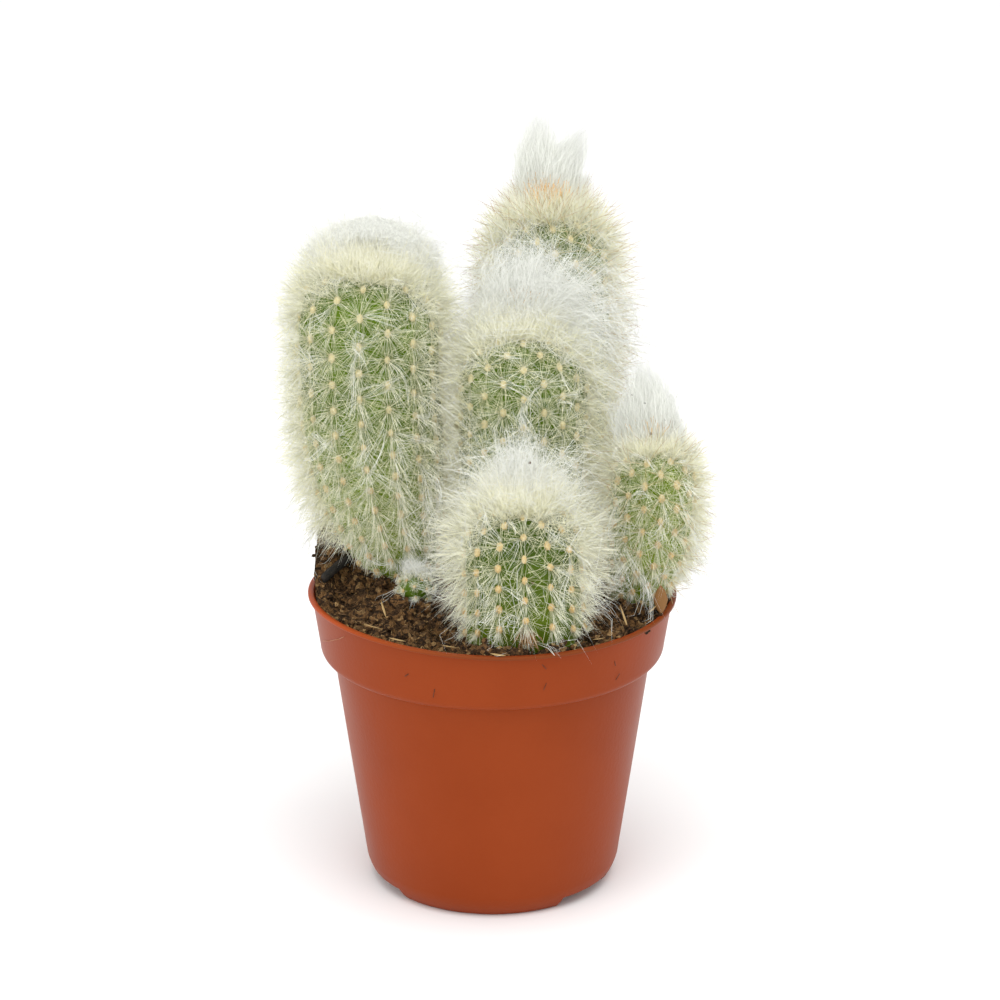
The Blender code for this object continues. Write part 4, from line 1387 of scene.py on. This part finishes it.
SWAY_MESS = 0.65
SWAY_BEATS = (0.6, 1.4)
FREE_OUT = 0.75
FREE_UP = 0.5
FREE_LENGTHS = (0.75, 1.1)
WOOL_LENGTHS = (0.45, 1.08)
WOOL_CLEAR = 0.6
WOOL_THICKNESS = 0.11
WOOL_SHARES = (0.0, 0.55, 1.0)


def wool_paths(stem, count, hairs, reach, length, mess, locks, draw):
    """Hairs in locks: each lock's roots lie close together on the crown, fewest on its front, and its hairs
    arch out from the skin and in towards the lock's tip."""
    number = count // hairs
    angle = draw.uniform(0, math.tau, number)
    arc = stem.crown * reach * np.sqrt(draw.uniform(0.0, 1.0, number))
    arc *= 1 - BARE_FRONT * np.maximum(np.cos(angle), 0.0)
    foot = stem.skin(arc, angle, False)
    out, climb, across = stem.directions(arc, angle)
    top = unit(stem.middle(1.0) - stem.middle(0.97))
    free_way = unit(out * FREE_OUT + top * FREE_UP)
    free = foot + free_way * length * draw.uniform(*FREE_LENGTHS, (number, 1))
    choice = draw.choice(len(locks), number, p=[share for _, _, share in locks])
    held = np.array([locks[k][0] is not None for k in choice])
    from_left = np.flatnonzero(held)[np.argsort(foot[held, 0])]
    choice[from_left] = sorted(choice[held], key=lambda k: locks[k][0][0])
    tips = free.copy()
    for k, (tip, loose, _) in enumerate(locks):
        if tip is not None:
            chosen = choice == k
            tips[chosen] = np.array(tip) + draw.normal(0, loose, (chosen.sum(), 3))
    span = np.linalg.norm(tips - foot, axis=1, keepdims=True)
    out[:, 1] = np.maximum(out[:, 1], -FORWARD_LEAN)
    bulge = foot + (out * BULGE_OUT + top * BULGE_UP) * span

    each = np.repeat(np.arange(number), hairs)
    foot, bulge, tips, span = foot[each], bulge[each], tips[each], span[each]
    root = foot + draw.normal(0, LOCK_WIDTH, foot.shape)
    bulge = bulge + draw.normal(0, mess, foot.shape) * span
    tips = tips + draw.normal(0, mess * TIP_MESS, foot.shape) * span
    end = draw.uniform(*WOOL_LENGTHS, (len(each), 1, 1))
    share = np.array(WOOL_SHARES)[None, :, None] * end
    paths = root[:, None] * (1 - share) ** 2 + tips[:, None] * share ** 2
    paths += bulge[:, None] * 2 * share * (1 - share)
    phase = draw.uniform(0, math.tau, (number, 1, 3))[each] + draw.normal(0, 1.2, (len(each), 1, 3))
    beat = draw.uniform(*SWAY_BEATS, (number, 1, 3))[each] * math.tau
    sway = (np.sin(phase + beat * share) - np.sin(phase)) * mess * SWAY_MESS
    return paths + sway * span[:, None]


wool_draw = np.random.default_rng(61)
for stem in stems.values():
    paths = wool_paths(stem, *LOCKS[stem.name], wool_draw)
    paths[:, 1:] = push_out(stem, paths[:, 1:], WOOL_CLEAR)
    paths = clear_of_soil(paths)
    wool = strands("wool_hair_" + stem.name, paths, WOOL_THICKNESS, HAIR_SHAPE, WOOL, wool_draw)
    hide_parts("wool_" + stem.name)


# The odds and ends
# Straw, fibres of peat, a leaf scrap and a bunch of dead brown bristles lie on the soil round the stems, and
# dark specks of peat hang in the wool. They fell there or came up with the plant.
STRAWS = (
    # start, end, width
    ((35.4, -28.0, 92.6), (37.9, -32.0, 86.0), 0.7),
    ((-31.2, -17.5, 89.8), (-29.5, -25.0, 87.4), 0.7),
    ((-28.5, -38.0, 86.6), (-23.5, -40.5, 86.4), 0.9),
    ((-0.6, -51.2, 87.2), (3.9, -51.6, 86.6), 1.3),
    ((-36.0, -30.0, 87.6), (-30.5, -32.5, 87.0), 0.5),
    ((27.5, -41.0, 87.2), (31.0, -39.2, 87.0), 0.6),
    ((-14.0, -44.5, 87.0), (-9.5, -46.0, 86.8), 0.6),
    ((43.5, -24.0, 88.4), (46.0, -20.0, 89.2), 0.6),
)
LEAF_FOOT = (47.2, -19.6, 86.2)
LEAF_TOP = (47.0, -18.6, 95.0)
LEAF_WIDTH = 4.4
BUNCH_ROOT = (8.8, -45.9, 93.0)
BUNCH_FOOT = (8.9, -48.0, 86.8)
BUNCH_SPREAD = (2.3, 0.6, 0.6)
BUNCH_COUNT = 46
BUNCH_THICKNESS = 0.3
FIBRES = {
    # piece: count, length, thickness
    "peat_fibres": (800, 5.0, 0.34),
    "pale_fibres": (420, 4.0, 0.26),
}
FIBRE_FLATNESS = (0.5, 0.5, 0.14)
SPECKS = (
    # place and size of each dark speck in the wool and on the skin
    ((38.9, -5.0, 146.1), 0.28), ((42.5, -6.0, 144.1), 0.36), ((44.2, -8.5, 135.9), 0.5),
    ((48.2, -6.5, 139.3), 0.28), ((6.7, 6.0, 174.7), 0.3), ((10.3, -34.0, 136.0), 0.4),
    ((9.2, -46.0, 107.1), 0.35), ((11.1, -46.0, 105.7), 0.45), ((10.1, -46.2, 104.9), 0.35),
)


def add_chip(bm, start, end, width):
    """A flat chip, pointed at both ends and a little hollow."""
    start, end = Vector(start), Vector(end)
    turn = (end - start).to_track_quat("X", "Z").to_matrix().to_4x4()
    shape = Matrix.Translation((start + end) / 2) @ turn
    size = Matrix.Diagonal(((end - start).length / 2, width / 2, width * 0.12, 1.0))
    made = bmesh.ops.create_icosphere(bm, subdivisions=2, radius=1.0)["verts"]
    for vert in made:
        vert.co.y *= 1.0 - 0.8 * vert.co.x ** 2
        vert.co.z += 0.8 * vert.co.x ** 2
    bmesh.ops.transform(bm, matrix=shape @ size, verts=made)


straw_bm = bmesh.new()
for start, end, width in STRAWS:
    add_chip(straw_bm, start, end, width)
straw = piece("straw_chips", straw_bm, plain_material("dry_straw", (0.42, 0.28, 0.12), 0.9))
leaf_bm = bmesh.new()
add_chip(leaf_bm, LEAF_FOOT, LEAF_TOP, LEAF_WIDTH)
leaf = piece("leaf_scrap", leaf_bm, plain_material("dry_leaf", (0.24, 0.115, 0.035), 0.9))
specks_bm = bmesh.new()
for place, size in SPECKS:
    bmesh.ops.create_icosphere(specks_bm, subdivisions=1, radius=size, matrix=Matrix.Translation(place))
specks = piece("peat_specks", specks_bm, PEAT)


def soil_fibres(count, length, draw):
    """Short crooked fibres that lie all over the soil."""
    reach = (RIM_RADIUS - 3.0) * np.sqrt(draw.random(count))
    turn = draw.uniform(0, math.tau, count)
    spots = zip(reach * np.cos(turn), reach * np.sin(turn))
    middle = np.array([(x, y, ground(x, y) + 0.4) for x, y in spots])
    ways = draw.normal(0, 1, middle.shape) * FIBRE_FLATNESS * length * draw.uniform(0.2, 1, (count, 1))
    bend = draw.normal(0, 0.6, middle.shape)
    return np.stack([middle - ways / 2, middle + bend, middle + ways / 2], axis=1)


def dead_bunch(draw):
    """Dead bristles that hang together at the front stem's foot."""
    root = np.array(BUNCH_ROOT) + draw.normal(0, 0.35, (BUNCH_COUNT, 3))
    foot = np.array(BUNCH_FOOT) + draw.normal(0, 1, (BUNCH_COUNT, 3)) * BUNCH_SPREAD
    bend = (root + foot) / 2 + draw.normal(0, 0.8, root.shape)
    return np.stack([root, bend, foot], axis=1)


FIBRE_FINISHES = {
    "peat_fibres": bristle_finish("peat_fibre", (0.11, 0.05, 0.02), (0.3, 0.18, 0.085), 0.0, 1.0, 0.0),
    "pale_fibres": bristle_finish("pale_fibre", (0.32, 0.18, 0.075), (0.5, 0.33, 0.15), 0.0, 1.0, 0.0),
}
for name, (count, length, thickness) in FIBRES.items():
    fibres = soil_fibres(count, length, wool_draw)
    strands(name, fibres, thickness, HAIR_SHAPE, FIBRE_FINISHES[name], wool_draw)
BROWN = bristle_finish("dead_bristle", (0.32, 0.16, 0.06), (0.42, 0.24, 0.1), 0.1, 0.9, 0.0)
bunch = dead_bunch(wool_draw)
strands("brown_bunch", bunch, BUNCH_THICKNESS, HAIR_SHAPE, BROWN, wool_draw)
